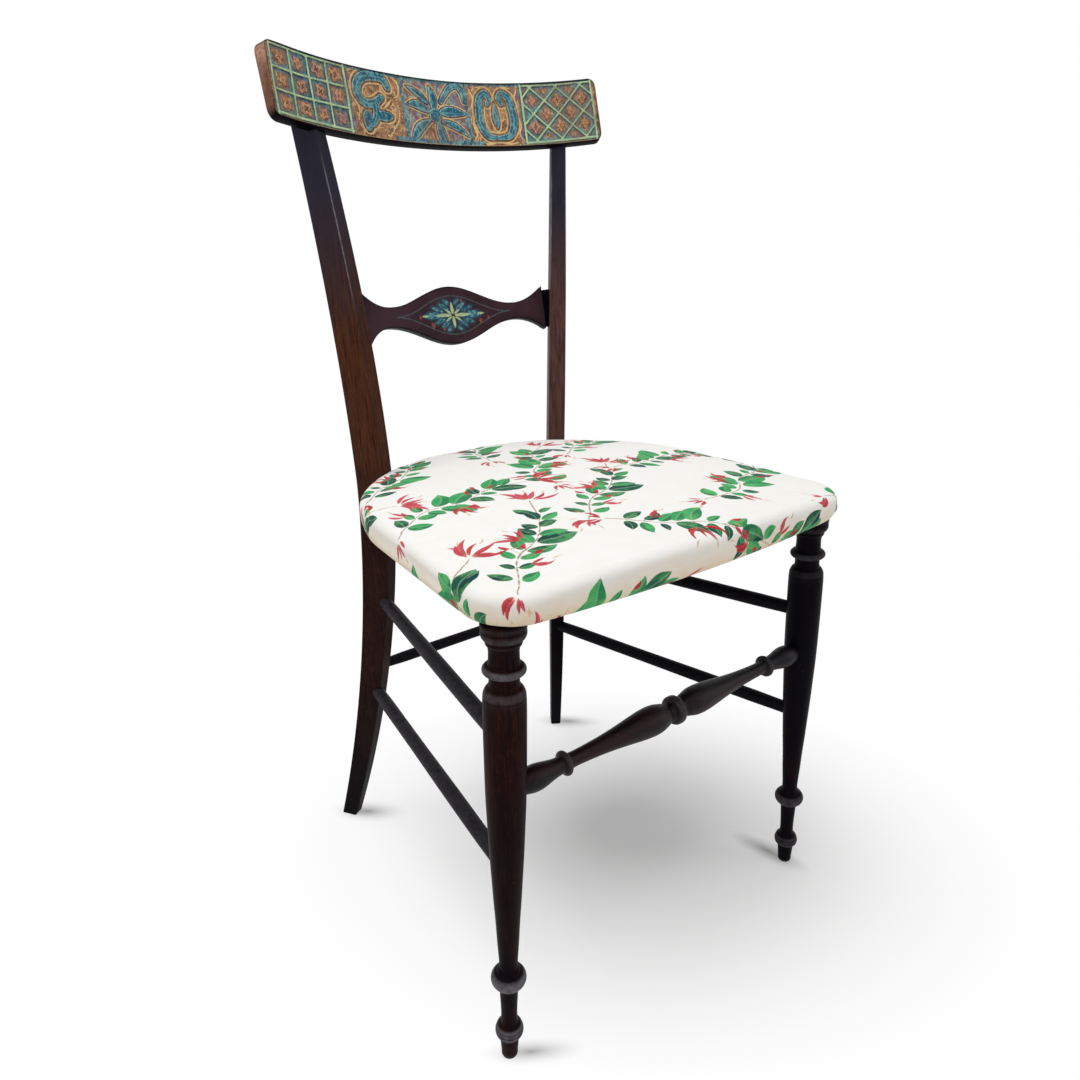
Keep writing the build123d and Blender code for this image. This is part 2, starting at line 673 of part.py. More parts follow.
def seat_rail_rear():
    """Rear rail: a swept piece with a nib coped to each post."""
    rail = frame_board() & block(-FAR, FAR, REAR_RAIL_FRONT_Y, FAR, 0, FAR)
    lug, post = post_lug(0), post_blank()
    rail = rail + lug + mirror(lug, Plane.YZ) - frame_opening()
    rail = biggest(rail - post - mirror(post, Plane.YZ))
    return rail - frame_dowel_holes() - mirror(frame_dowel_holes(), Plane.YZ)


def corner_block():
    """Right front glue block, glued into the corner of the frame."""
    corner = SEAT_FRONT_HALF - FRAME_SETBACK - FRAME_WIDTH
    start, end = corner - CORNER_BLOCK, corner + CORNER_BLOCK
    triangle = Polyline(
        (start, FRONT_RAIL_BACK_Y), (end, FRONT_RAIL_BACK_Y), (end, FRONT_RAIL_BACK_Y + end - start), close=True
    )
    return slab(make_face(triangle), FRAME_TOP - CORNER_BLOCK_HEIGHT, FRAME_TOP) & frame_opening()


def frame_dowel_lines():
    """Middles, directions and lengths of the right-hand dowels."""
    z = (SEAT_UNDERSIDE + FRAME_TOP) / 2
    front_xs = [SEAT_FRONT_HALF - inset for inset in FRONT_DOWELS_INSET]
    rear_xs = [POST_PLAN_X + reach for reach in REAR_DOWELS_REACH]
    lines = [(Vector(x, FRONT_RAIL_BACK_Y, z), Vector(0, 1, 0), DOWEL_LENGTH) for x in front_xs]
    lines += [(Vector(x, REAR_RAIL_FRONT_Y, z), Vector(0, 1, 0), DOWEL_LENGTH) for x in rear_xs]
    cant = radians(POST_CANT)
    lines.append((post_point(z, 0, 0), Vector(sin(cant), cos(cant), 0), DOWEL_LENGTH))
    return lines


def frame_dowel_rods(clearance):
    """Right-hand dowels, or their holes when a clearance is given."""
    rods = []
    for middle, direction, length in frame_dowel_lines():
        reach = direction * (length / 2 + clearance)
        rods.append(rod(middle - reach, middle + reach, DOWEL_RADIUS + clearance))
    return rods


def frame_dowel_holes():
    holes = frame_dowel_rods(DOWEL_CLEARANCE)
    return Part() + holes


def frame_dowels():
    rods = frame_dowel_rods(0)
    return Compound(rods + [mirror(piece, Plane.YZ) for piece in rods])


# ---------------------------------------------------------------- webbing, filling, covers
def strip_positions(low, high):
    """Even centres for the webbing strips between two limits."""
    pitch = (high - low) / WEBBING_COUNT
    return [low + pitch * (index + 0.5) for index in range(WEBBING_COUNT)]


def webbing(lengthwise):
    """Jute strips across the top of the frame, one layer each way."""
    base = WEB_LONG_Z if lengthwise else WEB_CROSS_Z
    sheet = slab(seat_outline(WEBBING_INSET), base, base + WEBBING_THICKNESS)
    half = WEBBING_WIDTH / 2
    strips = []
    if lengthwise:
        for x in strip_positions(-WEBBING_REACH, WEBBING_REACH):
            strips += (sheet & block(x - half, x + half, -FAR, FAR, 0, FAR)).solids()
    else:
        for y in strip_positions(WEBBING_FRONT_Y, WEBBING_FRONT_Y + 2 * WEBBING_REACH):
            strips += (sheet & block(-FAR, FAR, y - half, y + half, 0, FAR)).solids()
    return Compound(strips)


def hessian():
    return slab(seat_outline(WEBBING_INSET), HESSIAN_Z, STUFFING_Z)


def pad_form(inset):
    """Upholstered seat with a crowned top and rounded rims; inset for the layers inside it."""
    low, top = COVER_Z + inset, PAD_TOP_Z - inset
    body = slab(seat_outline(inset), low, top + 5)
    crown_radius = (SEAT_CROWN_SPAN ** 2 + SEAT_CROWN ** 2) / (2 * SEAT_CROWN)
    middle_y = (SEAT_FRONT_Y + SEAT_BACK_Y) / 2
    body = body & (Pos(0, middle_y, top - crown_radius) * Sphere(crown_radius))
    top_face = body.faces().sort_by(Axis.Z)[-1]
    body = fillet(top_face.edges(), SEAT_TOP_ROUND - inset)
    bottom_face = body.faces().sort_by(Axis.Z)[0]
    return fillet(bottom_face.edges(), SEAT_BOTTOM_ROUND - inset)


def around_the_posts(solid, gap):
    """Cuts a soft layer clear of both posts and of the rear rail's nibs."""
    post, lug = post_blank(gap), post_lug(gap, drop=COVER_THICKNESS + 1)
    return solid - post - mirror(post, Plane.YZ) - lug - mirror(lug, Plane.YZ)


def leg_clear(solid, gap):
    """Cuts a soft layer clear of both front leg collars."""
    top = leg_axis(SEAT_UNDERSIDE)
    collar = rod(top - Vector(0, 0, 20), top + Vector(0, 0, 1), COLLAR_RADIUS + gap)
    return solid - collar - mirror(collar, Plane.YZ)


def seat_stuffing():
    """Hair and wadding: a cap over the top and round the edge of the frame."""
    inset = COVER_THICKNESS + SOFT_GAP
    cap = pad_form(inset)
    core = slab(seat_outline(FRAME_SETBACK - SOFT_GAP), 0, STUFFING_Z + SOFT_GAP)
    cap = cap - core
    return biggest(around_the_posts(cap, 2 * SOFT_GAP + COVER_THICKNESS))


def seat_cover():
    """Printed cotton drawn over the filling and turned under the frame."""
    shell = pad_form(0) - pad_form(COVER_THICKNESS)
    window = slab(seat_outline(COVER_RETURN), 0, SEAT_UNDERSIDE + 5)
    shell = shell - window
    shell = around_the_posts(shell, SOFT_GAP)
    shell = leg_clear(shell, SOFT_GAP)
    return biggest(shell)


def dust_cloth():
    """Thin black cloth that closes the underside of the seat."""
    sheet = slab(seat_outline(DUST_CLOTH_INSET), COVER_Z - DUST_CLOTH_THICKNESS, COVER_Z)
    sheet = around_the_posts(sheet, SOFT_GAP)
    return biggest(leg_clear(sheet, SOFT_GAP))


# ---------------------------------------------------------------- assembly
def chair():
    """Every piece by name, still with Y = 0 through the front feet."""
    pieces = {
        "crest_rail": crest_rail(),
        "mid_rail": mid_rail(),
        "front_stretcher": front_stretcher(),
        "rear_stretcher": rear_stretcher(),
        "seat_rail_front": seat_rail_front(),
        "seat_rail_rear": seat_rail_rear(),
        "frame_dowels": frame_dowels(),
        "webbing_lengthwise": webbing(True),
        "webbing_crosswise": webbing(False),
        "seat_hessian": hessian(),
        "seat_stuffing": seat_stuffing(),
        "seat_cover": seat_cover(),
        "dust_cloth": dust_cloth(),
    }
    handed = {
        "front_leg": front_leg(),
        "back_post": rear_post(),
        "side_stretcher_upper": side_stretcher(0),
        "side_stretcher_lower": side_stretcher(1),
        "seat_rail_side": seat_rail_side(),
        "corner_block": corner_block(),
    }
    for name, solid in handed.items():
        for side, piece in both_sides(solid).items():
            pieces[f"{name}_{side}"] = piece
    return pieces


def main():
    os.makedirs("parts", exist_ok=True)
    pieces = chair()
    boxes = [piece.bounding_box() for piece in pieces.values()]
    middle_y = (min(box.min.Y for box in boxes) + max(box.max.Y for box in boxes)) / 2
    for name, piece in pieces.items():
        export_step(Pos(0, -middle_y, 0) * piece, f"parts/{name}.step")
    print("moved back by", round(-middle_y, 3))


main()
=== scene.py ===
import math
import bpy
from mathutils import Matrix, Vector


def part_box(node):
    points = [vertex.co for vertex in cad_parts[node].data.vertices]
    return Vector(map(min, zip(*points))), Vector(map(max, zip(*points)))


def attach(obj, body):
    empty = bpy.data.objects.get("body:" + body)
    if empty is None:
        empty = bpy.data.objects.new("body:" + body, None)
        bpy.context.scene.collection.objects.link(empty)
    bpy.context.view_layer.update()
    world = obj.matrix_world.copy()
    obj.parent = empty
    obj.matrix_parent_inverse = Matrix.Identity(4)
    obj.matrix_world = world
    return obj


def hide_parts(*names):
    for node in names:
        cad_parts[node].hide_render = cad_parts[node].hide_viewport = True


bl_info = {
    "name": "Painted side chair",
    "version": (1, 0, 0),
    "blender": (4, 5, 0),
    "location": "View3D > Sidebar > Chair",
    "description": "Dresses the chair's frame: ebonised wood, painted crest, upholstered seat, pale stage",
    "category": "Object",
}

import bpy
import numpy as np
from mathutils import Matrix, Vector

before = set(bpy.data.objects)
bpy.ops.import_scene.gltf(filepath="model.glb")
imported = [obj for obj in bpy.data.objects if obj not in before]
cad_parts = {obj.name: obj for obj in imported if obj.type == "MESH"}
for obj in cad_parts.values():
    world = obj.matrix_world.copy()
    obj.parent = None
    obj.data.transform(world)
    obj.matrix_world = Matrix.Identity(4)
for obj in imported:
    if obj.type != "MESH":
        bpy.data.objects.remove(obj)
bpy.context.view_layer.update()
LEG_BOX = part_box("front_leg_right")
LEG_LINE_Y = 1000 * (LEG_BOX[0].y + LEG_BOX[1].y) / 2
SEAT_BOTTOM = 1000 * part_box("seat_cover")[0].z
SEAT_UNDERSIDE = SEAT_BOTTOM + 1.0
SIDES = {"right": 1, "left": -1}


# ------------------------------------------------------------------ curves and surfaces
def to_metres(points):
    """Millimetres in the legs' frame (Y = 0 through the front feet) to metres in the row frame."""
    return (np.asarray(points, float) + [0, LEG_LINE_Y, 0]) / 1000


def cubic(u, start, start_slope, end, end_slope):
    """Cubic from start to end for u from 0 to 1, leaving and arriving with the slopes given per unit of u."""
    leave, arrive = u**3 - 2 * u**2 + u, u**3 - u**2
    rise = 3 * u**2 - 2 * u**3
    return (1 - rise) * start + leave * start_slope + rise * end + arrive * end_slope


def smooth_through(points, count):
    """Curve through points: cubics between neighbours, their slopes the central differences by chord."""
    points = np.asarray(points, float)
    chord = np.r_[0, np.cumsum(np.linalg.norm(np.diff(points, axis=0), axis=1))]
    slope = np.gradient(points, chord, axis=0)
    t = np.linspace(0, chord[-1], count)
    k = np.clip(np.searchsorted(chord, t, side="right") - 1, 0, len(chord) - 2)
    width = (chord[k + 1] - chord[k])[:, None]
    u = (t - chord[k])[:, None] / width
    return cubic(u, points[k], width * slope[k], points[k + 1], width * slope[k + 1])


def ease(value, low, high):
    """0 below low, 1 above high, and the cubic 3t^2 - 2t^3 between."""
    t = np.clip((value - low) / (high - low), 0, 1)
    return t * t * (3 - 2 * t)


def wobble(x, y, seed):
    """Soft unevenness about 0: six sine waves of fixed random direction, length and phase."""
    rng = np.random.default_rng(seed)
    total = np.zeros(np.broadcast(x, y).shape)
    for _ in range(6):
        angle, phase, rate = rng.uniform(0, 2 * np.pi, 2).tolist() + [rng.uniform(0.6, 2.2)]
        total = total + np.sin(rate * (x * np.cos(angle) + y * np.sin(angle)) + phase) / 6
    return total


def make_piece(name, points, quads, triangles=(), fields=None, uv=None):
    """Mesh from whole arrays: points in metres, quads and triangles as rows of indices, smooth all over."""
    quads = np.asarray(quads, np.int32).reshape(-1, 4)
    triangles = np.asarray(triangles, np.int32).reshape(-1, 3)
    corners = np.concatenate([quads.ravel(), triangles.ravel()])
    starts = np.concatenate([4 * np.arange(len(quads)), quads.size + 3 * np.arange(len(triangles))])
    mesh = bpy.data.meshes.new(name)
    mesh.vertices.add(len(points))
    mesh.vertices.foreach_set("co", np.asarray(points, np.float32).ravel())
    mesh.loops.add(len(corners))
    mesh.loops.foreach_set("vertex_index", corners)
    mesh.polygons.add(len(starts))
    mesh.polygons.foreach_set("loop_start", starts.astype(np.int32))
    mesh.update(calc_edges=True)
    mesh.validate()
    mesh.polygons.foreach_set("use_smooth", np.ones(len(mesh.polygons), bool))
    for key, values in (fields or {}).items():
        values = np.asarray(values, np.float32)
        kind, prop = ("FLOAT", "value") if values.ndim == 1 else ("FLOAT_COLOR", "color")
        mesh.attributes.new(key, kind, "POINT").data.foreach_set(prop, values.ravel())
    if uv is not None:
        at = np.empty(len(mesh.loops), np.int32)
        mesh.loops.foreach_get("vertex_index", at)
        mesh.uv_layers.new(name="cloth").data.foreach_set("uv", np.asarray(uv, np.float32)[at].ravel())
    piece = bpy.data.objects.new(name, mesh)
    bpy.context.scene.collection.objects.link(piece)
    return piece


def ring_faces(rows, columns, flip=False):
    """Quads of rows of points that close round on themselves, and fans to one point past each end row."""
    index = np.arange(rows * columns).reshape(rows, columns)
    after = np.roll(index, -1, 1)
    quads = np.stack([index[:-1], after[:-1], after[1:], index[1:]], -1).reshape(-1, 4)
    first = np.stack([after[0], index[0], np.full(columns, rows * columns)], -1)
    last = np.stack([index[-1], after[-1], np.full(columns, rows * columns + 1)], -1)
    fans = np.concatenate([first, last])
    return (quads[:, ::-1], fans[:, ::-1]) if flip else (quads, fans)


def ringed_piece(name, rings, wear_and_highlight=None, flip=False, **fields):
    """Closed skin over rings of points (row, column, xyz) in leg-frame mm, each end closed at its middle.

    wear, where given, is one number, or a number for each row or for each point.
    """
    rows, columns = rings.shape[:2]
    quads, fans = ring_faces(rows, columns, flip)
    points = np.concatenate([rings.reshape(-1, 3), [rings[0].mean(0), rings[-1].mean(0)]])
    if wear_and_highlight is not None:
        fields["wear_and_highlight"] = np.broadcast_to(wear_and_highlight[:, None] if np.ndim(wear_and_highlight) == 1 else wear_and_highlight, (rows, columns))
    padded = {}
    for key, values in fields.items():
        flat = values.reshape(rows * columns, *values.shape[2:])
        padded[key] = np.concatenate([flat, np.zeros((2,) + flat.shape[1:])])
    return make_piece(name, to_metres(points), quads, fans, padded)


def finish_piece(piece, material, slot, *nodes):
    """Gives a piece its material, the nodes it stands for and the body it rides on; slot is not used."""
    piece.data.materials.clear()
    piece.data.materials.append(material)
    if nodes:
        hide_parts(*nodes)
    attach(piece, "root")


# ------------------------------------------------------------------ shader maths
class Wire:
    """A socket whose arithmetic adds Math nodes."""

    def __init__(self, finish, socket):
        self.finish, self.socket = finish, socket

    def math(self, operation, *others):
        return self.finish.node("ShaderNodeMath", {"operation": operation}, dict(enumerate((self,) + others)))

    def __add__(self, other):
        return self.math("ADD", other)

    def __sub__(self, other):
        return self.math("SUBTRACT", other)

    def __rsub__(self, other):
        return self.finish.node("ShaderNodeMath", {"operation": "SUBTRACT"}, {0: other, 1: self})

    def __mul__(self, other):
        return self.math("MULTIPLY", other)

    def __truediv__(self, other):
        return self.math("DIVIDE", other)

    def __pow__(self, other):
        return self.math("POWER", other)

    __radd__, __rmul__ = __add__, __mul__

    def limited(self):
        return self.math("MINIMUM", 1.0).math("MAXIMUM", 0.0)

    def above(self, level, soft):
        """0 below level - soft, 1 above level + soft."""
        return ((self - (level - soft)) / (2 * soft)).limited()

    def below(self, level, soft):
        return 1 - self.above(level, soft)

    def line(self, level, rate):
        """1 at level, falling to 0 at 1 / rate to each side of it."""
        return 1 - ((self - level).math("ABSOLUTE") * rate).limited()

    def wave(self, pitch):
        return (self * (2 * math.pi / pitch)).math("SINE")


class Tree:
    """A node tree under construction, of a material or a world."""

    def __init__(self, owner):
        owner.use_nodes = True
        self.tree = owner.node_tree

    def node(self, kind, settings=None, sockets=None, output=0):
        """Adds a node: its settings first, then values or links on its sockets; returns one output."""
        node = self.tree.nodes.new(kind)
        for key, value in (settings or {}).items():
            setattr(node, key, value)
        for key, value in (sockets or {}).items():
            self.set(node.inputs[key], value)
        return Wire(self, node.outputs[output])

    def set(self, socket, value):
        if isinstance(value, Wire):
            self.tree.links.new(value.socket, socket)
        elif socket.type == "RGBA":
            socket.default_value = (*value, 1)
        else:
            socket.default_value = value

    def seen(self):
        """1 for a ray that the camera sees, straight, mirrored or through glass."""
        rays = self.node("ShaderNodeLightPath").socket.node.outputs
        kinds = ("Camera", "Glossy", "Transmission")
        camera, mirrored, through = [Wire(self, rays[f"Is {kind} Ray"]) for kind in kinds]
        return camera.math("MAXIMUM", mirrored).math("MAXIMUM", through)

    def blend(self, factor, first, second):
        return self.node("ShaderNodeMixShader", {}, {0: factor, 1: first, 2: second})


class Finish(Tree):
    """A material under construction."""

    def __init__(self, name):
        self.material = bpy.data.materials.new(name)
        super().__init__(self.material)
        self.surface = self.tree.nodes["Principled BSDF"]

    def place(self, scale=(1, 1, 1), turn=(0, 0, 0)):
        """Object coordinates, scaled and turned."""
        here = self.node("ShaderNodeTexCoord", output=3)
        return self.node("ShaderNodeMapping", {}, {"Vector": here, "Scale": scale, "Rotation": turn})

    def axes(self, vector=None):
        """The X, Y and Z of a vector, or of the object coordinates."""
        vector = vector or self.node("ShaderNodeTexCoord", output=3)
        split = self.node("ShaderNodeSeparateXYZ", {}, {0: vector}).socket.node
        return [Wire(self, output) for output in split.outputs]

    def weave(self, pitch, vector=None):
        """Two crossed sets of threads: the product of a sine wave along X and one along Y."""
        x, y, _ = self.axes(vector)
        return x.wave(pitch) * y.wave(pitch)

    def noise(self, place, scale, detail=3.0, rough=0.55, twist=0.0):
        sockets = {"Vector": place, "Scale": scale, "Detail": detail, "Roughness": rough, "Distortion": twist}
        return self.node("ShaderNodeTexNoise", {}, sockets)

    def field(self, name, channel=None):
        """A float attribute, or one channel (0 to 3) of a colour attribute."""
        output = {None: 2, 3: 3}.get(channel, 0)
        value = self.node("ShaderNodeAttribute", {"attribute_name": name}, output=output)
        return value if output else self.node("ShaderNodeSeparateColor", {}, {0: value}, output=channel)

    def mix(self, factor, first, second):
        return self.node("ShaderNodeMix", {"data_type": "RGBA"}, {0: factor, 6: first, 7: second}, output=2)

    def layers(self, colour, *coats):
        """Coats of (cover, colour) laid one after another over a first colour."""
        for cover, coat in coats:
            colour = self.mix(cover, colour, coat)
        return colour

    def principled(self, colour, rough, relief=None, **sockets):
        """Colour, roughness, relief as (height, strength, distance in metres), and other sockets by name."""
        if relief:
            bump = dict(zip(("Height", "Strength", "Distance"), relief))
            sockets["Normal"] = self.node("ShaderNodeBump", {}, bump)
        for key, value in {"Base Color": colour, "Roughness": rough.limited(), **sockets}.items():
            self.set(self.surface.inputs[key.replace("_", " ")], value)
        return self.material


def darker(colour, share):
    return [share * part for part in colour]


def ebonised(name, along, brown_share, seed, brown_heights=None, warm_tone=None, gloss=0.025):
    """Black stain over brown wood: fine grain along one axis, brown where rubbed, pale on edges for wear and
    painted highlight.

    brown_heights gives two heights, in metres, between which the stain is rubbed through to warm_tone, and
    how fast that tone grows from the floor up to them.
    """
    colours = bpy.context.scene.chair_colours
    finish = Finish(name)
    scales = [[share if axis == along else 1.0 for axis in range(3)] for share in (0.05, 0.3)]
    stretched, broad = [finish.place(scale) for scale in scales]
    grain = finish.noise(stretched, 420.0, 5.0, 0.65, 0.4)
    fine = finish.noise(stretched, 1500.0, 2.0, 0.5)
    patch = finish.noise(broad, 17.0 + seed, 4.0, 0.6, 0.5)
    speck = finish.noise(finish.place(), 160.0, 3.0, 0.6)
    rubbed = (patch.above(1.0 - brown_share, 0.14) * (0.2 + grain.above(0.47, 0.12) * 0.9)).limited()
    streak = (rubbed * fine.above(0.55, 0.12) * speck.above(0.5, 0.15) * 0.2).limited()
    base = finish.mix(rubbed, colours.ebony, colours.rubbed_brown)
    if brown_heights:
        height = finish.axes()[2]
        low, high, growth = brown_heights
        zone = height.above(low, 0.09).math("MAXIMUM", height * growth) * height.below(high, 0.07)
        show = (zone * (0.35 + patch.above(0.42, 0.16) * 0.9)).limited()
        warm = finish.mix(grain.above(0.5, 0.14), darker(warm_tone, 0.4), warm_tone)
        # Painted reflection: above 0.5 m the posts turn from black to a bluish tone that stands in for sheen.
        thick = height.above(0.50, 0.10) * (1 - rubbed * 0.4)
        base = finish.mix(show, finish.mix(thick, colours.ebony, colours.blue_black), warm)
        streak = (streak + show * fine.above(0.56, 0.08) * speck.above(0.48, 0.15) * 0.6).limited()
    # Pale edges: real wear on the beads, rings and arrises, and also a painted highlight on them.
    worn = (finish.field("wear_and_highlight") * (0.35 + speck.above(0.42, 0.16) * 0.6)).limited()
    nick = finish.noise(finish.place(), 420.0, 2.0, 0.5).above(0.735, 0.012)
    colour = finish.layers(
        base, (streak, colours.bare_brown), (worn, colours.worn_edge), (nick * 0.4, colours.bare_brown)
    )
    rough = 0.30 + grain * 0.14 + speck * 0.10 + worn * 0.20
    relief = (grain * 0.5 + fine * 0.3 + speck * 0.35, 0.16, 0.0004)
    return finish.principled(colour, rough, relief, Specular_IOR_Level=gloss)


# ------------------------------------------------------------------ turned pieces
# Stretches of (distance along the axis, radius) in mm, parted by small steps: up a leg from the floor, and
# out from the middle of the front stretcher.
LEG_TURNING = (
    ((0.0, 5.2), (1.0, 6.4), (7.0, 7.2), (14.0, 7.8), (20.0, 8.3), (23.4, 8.6)),
    ((23.8, 9.4), (25.2, 10.9), (27.4, 12.0), (29.4, 12.3)),
    ((29.9, 11.8), (31.3, 12.2), (32.7, 11.6)),
    ((33.1, 11.2), (34.4, 11.2), (36.2, 9.8), (37.6, 8.3)),
    ((38.2, 7.7), (42.0, 7.2), (49.0, 7.0), (57.0, 7.2), (66.0, 7.6), (76.0, 8.2), (80.4, 8.8)),
    ((80.8, 9.4), (82.0, 11.6), (84.2, 13.9), (87.2, 15.1), (90.0, 15.0), (92.6, 13.7), (94.6, 11.8),
     (95.8, 10.2)),
    ((96.2, 9.9), (97.6, 9.5), (99.0, 8.6)),
    ((99.6, 8.0), (106.0, 8.0), (114.0, 8.4), (127.0, 9.2), (148.0, 10.2), (169.0, 11.5), (190.0, 12.6),
     (215.0, 13.9), (240.0, 14.9), (266.0, 15.9), (303.0, 16.45), (330.0, 16.65), (354.0, 16.6),
     (357.5, 16.5)),
    ((358.0, 16.2), (360.0, 16.3), (362.4, 15.7), (364.8, 14.5), (366.6, 12.9)),
    ((367.0, 12.0), (371.5, 11.6), (376.0, 11.8)),
    ((376.5, 12.6), (377.7, 14.9), (379.4, 16.4), (381.4, 16.5), (383.2, 15.2), (384.5, 12.8)),
    ((385.0, 12.0), (391.5, 11.6), (397.0, 11.7), (400.6, 12.5)),
    ((401.2, 13.5), (403.0, 14.0), (404.6, 13.8)),
    ((405.2, 14.7), (407.0, 16.4), (409.5, 17.2), (412.0, 17.15)),
    ((412.5, 16.9), (414.0, 17.15), (SEAT_UNDERSIDE - 1.0, 17.1), (SEAT_UNDERSIDE, 16.5)),
)
FRONT_TURNING = (
    ((0.0, 13.2), (2.4, 13.1), (4.0, 12.2), (5.0, 10.2)),
    ((5.3, 9.2), (7.4, 8.6), (10.0, 8.8)),
    ((11.0, 9.6), (13.0, 10.4), (17.0, 11.5), (22.0, 12.7), (29.0, 13.25), (36.0, 13.0), (47.0, 11.9),
     (59.0, 10.4), (72.0, 8.9), (84.0, 7.8), (97.0, 7.0), (109.0, 6.5), (117.0, 6.4), (122.4, 6.7)),
    ((122.8, 7.4), (123.8, 9.2), (125.2, 10.5), (127.0, 10.5), (128.6, 9.2), (129.7, 7.6)),
    ((130.2, 7.2), (134.0, 7.4), (140.0, 8.2), (147.0, 9.6), (155.0, 10.8), (161.0, 10.5), (167.5, 9.2),
     (171.0, 8.2)),
# Share of the pale wear and painted highlight: strongest on the ankle's beads, weaker on the right leg.
)


def turned_outline(stretches, spacing=0.55):
    """Smooth stretches of (distance, radius), each meeting the next in a small step."""
    rows = []
    for stretch in stretches:
        length = np.hypot(*np.diff(np.asarray(stretch), axis=0).T).sum()
        # The stretcher's rings get a little of the pale wear and painted highlight.
        rows.append(smooth_through(stretch, max(4, int(length / spacing))))
    return np.concatenate(rows)


def proud_wear_and_highlight(distance, radius):
    """1 where the outline stands proud of its own average over 9 mm, 0 where it doesn't: where the pale wear
    and painted highlight go.
    """
    near = np.exp(-(((distance[:, None] - distance[None]) / 4.5) ** 2))
    average = (near * radius[None]).sum(1) / near.sum(1)
    return np.clip((radius - average) / 1.3, 0, 1)


def turned_rings(start, end, distance, radius, around):
    """Circles of the given radii about the line from start to end, at the given distances along it."""
    start, end = np.asarray(start, float), np.asarray(end, float)
    axis = (end - start) / np.linalg.norm(end - start)
    side = np.cross(axis, [0, 0, 1] if abs(axis[2]) < 0.9 else [0, 1, 0])
    side /= np.linalg.norm(side)
    other = np.cross(axis, side)
    angle = np.linspace(0, 2 * np.pi, around, endpoint=False)
    circle = np.cos(angle)[:, None] * side + np.sin(angle)[:, None] * other
    return start + distance[:, None, None] * axis + radius[:, None, None] * circle


def leg_axis(z, side=1):
    sizes = bpy.context.scene.chair_sizes
    return np.array([side * (1000 * sizes.foot_half_spacing - math.tan(sizes.leg_splay) * z), 0.0, z])


# ------------------------------------------------------------------ stretchers
FRONT_STRETCHER_HEIGHT, ANKLE_WEAR_TOP = 274.0, 110.0
# Level, height on the leg's axis and height on the post's face.
SIDE_RODS = (("upper", 317.4, 304.0), ("lower", 199.0, 187.0))
ROD_ENTRY_INSET, ROD_START_IN, ROD_END_IN, ROD_TAPER = 0.6, 6.0, 12.5, 0.4
REAR_ROD_HEIGHT, REAR_ROD_TENON, REAR_ROD_TAPER = 214.0, 9.7, 1.0


# ------------------------------------------------------------------ back posts
POST_WAIST, POST_TOP, POST_POWER = 440.0, 820.0, 1.8
POST_CANT, POST_LEAN = math.radians(32.5), math.tan(math.radians(1.88))
POST_PLAN = (111.0, 310.6)
# A post's width, its depth and how far its front lies behind the waist's, at the foot, the waist and the top.
POST_WIDTH, POST_DEPTH, POST_SWEEP = (13.8, 19.3, 14.6), (19.2, 32.5, 23.5), (88.0, 0.0, 38.3)
POST_ARRIS, POST_END_ROUND = 1.35, 0.6
CREST_HALF, CREST_HEIGHT, CREST_THICKNESS, MID_THICKNESS = 187.0, 65.0, 12.0, 10.5
# A bent board's radius at its front face, its rake, and the Y and Z of that face's origin at s = 0, h = 0.
CREST_BEND = (432.6, math.radians(16.4), 345.3, 765.4)
MID_BEND = (437.0, math.radians(15.2), 345.3, 599.3)
MID_LIFT, MID_SLOPE = 0.9, 0.014


def post_blend(z, foot, waist, top):
    """Waist value moving to the foot or top value with the 1.8th power of the distance from the waist."""
    below = np.abs(POST_WAIST - z) / POST_WAIST
    above = np.abs(z - POST_WAIST) / (POST_TOP - POST_WAIST)
    share = np.where(z < POST_WAIST, (foot - waist) * below**POST_POWER, (top - waist) * above**POST_POWER)
    return waist + share


def post_place(across, back, z):
    """Points of the right post, from across its width, back from its front face and the height."""
    x = across + POST_LEAN * np.maximum(0, z - POST_WAIST)
    y = back + post_blend(z, *POST_SWEEP)
    cosine, sine = math.cos(POST_CANT), math.sin(POST_CANT)
    right, behind = POST_PLAN
    return np.stack([right + x * cosine + y * sine, behind - x * sine + y * cosine, z + 0 * x], -1)


def bent_place(s, h, t, curve, rake, y, z):
    """Point of a bent, raked board: s round its front face, h up the board, t behind its front face."""
    angle = s / curve
    across = (curve + t) * np.cos(angle) - curve
    back = y + across * math.cos(rake) + h * math.sin(rake)
    return np.stack([(curve + t) * np.sin(angle), back, z - across * math.sin(rake) + h * math.cos(rake)], -1)


def bent_measure(points, curve, rake, y, z):
    """The reverse of bent_place: (s, h, t) of points."""
    back, up = points[..., 1] - y, points[..., 2] - z
    across = back * math.cos(rake) - up * math.sin(rake)
    h = back * math.sin(rake) + up * math.cos(rake)
    angle = np.arctan2(points[..., 0], across + curve)
    return angle * curve, h, np.hypot(points[..., 0], across + curve) - curve


def rounded_section(half, radius, flat, arc):
    """Rounded rectangles about 0, one for each row of half sizes: arc points a corner, flat points a side.

    Also returns how near each point is to a corner: sin(2 angle)^2 round the corner, 0 along the sides.
    """
    turn, run = np.linspace(0, np.pi / 2, arc), np.linspace(0, 1, flat + 2)[1:-1]
    corners, rows = [], []
    for quarter, signs in enumerate(((1, 1), (-1, 1), (-1, -1), (1, -1))):
        angle = turn + quarter * np.pi / 2
        middle = np.multiply(signs, half - radius)
        corners.append(middle[:, None] + radius * np.stack([np.cos(angle), np.sin(angle)], -1))
    for here, after in zip(corners, corners[1:] + corners[:1]):
        rows += [here, here[:, -1:] + (after[:, :1] - here[:, -1:]) * run[:, None]]
    return np.concatenate(rows, 1), np.tile(np.r_[np.sin(2 * turn) ** 2, 0 * run], 4)


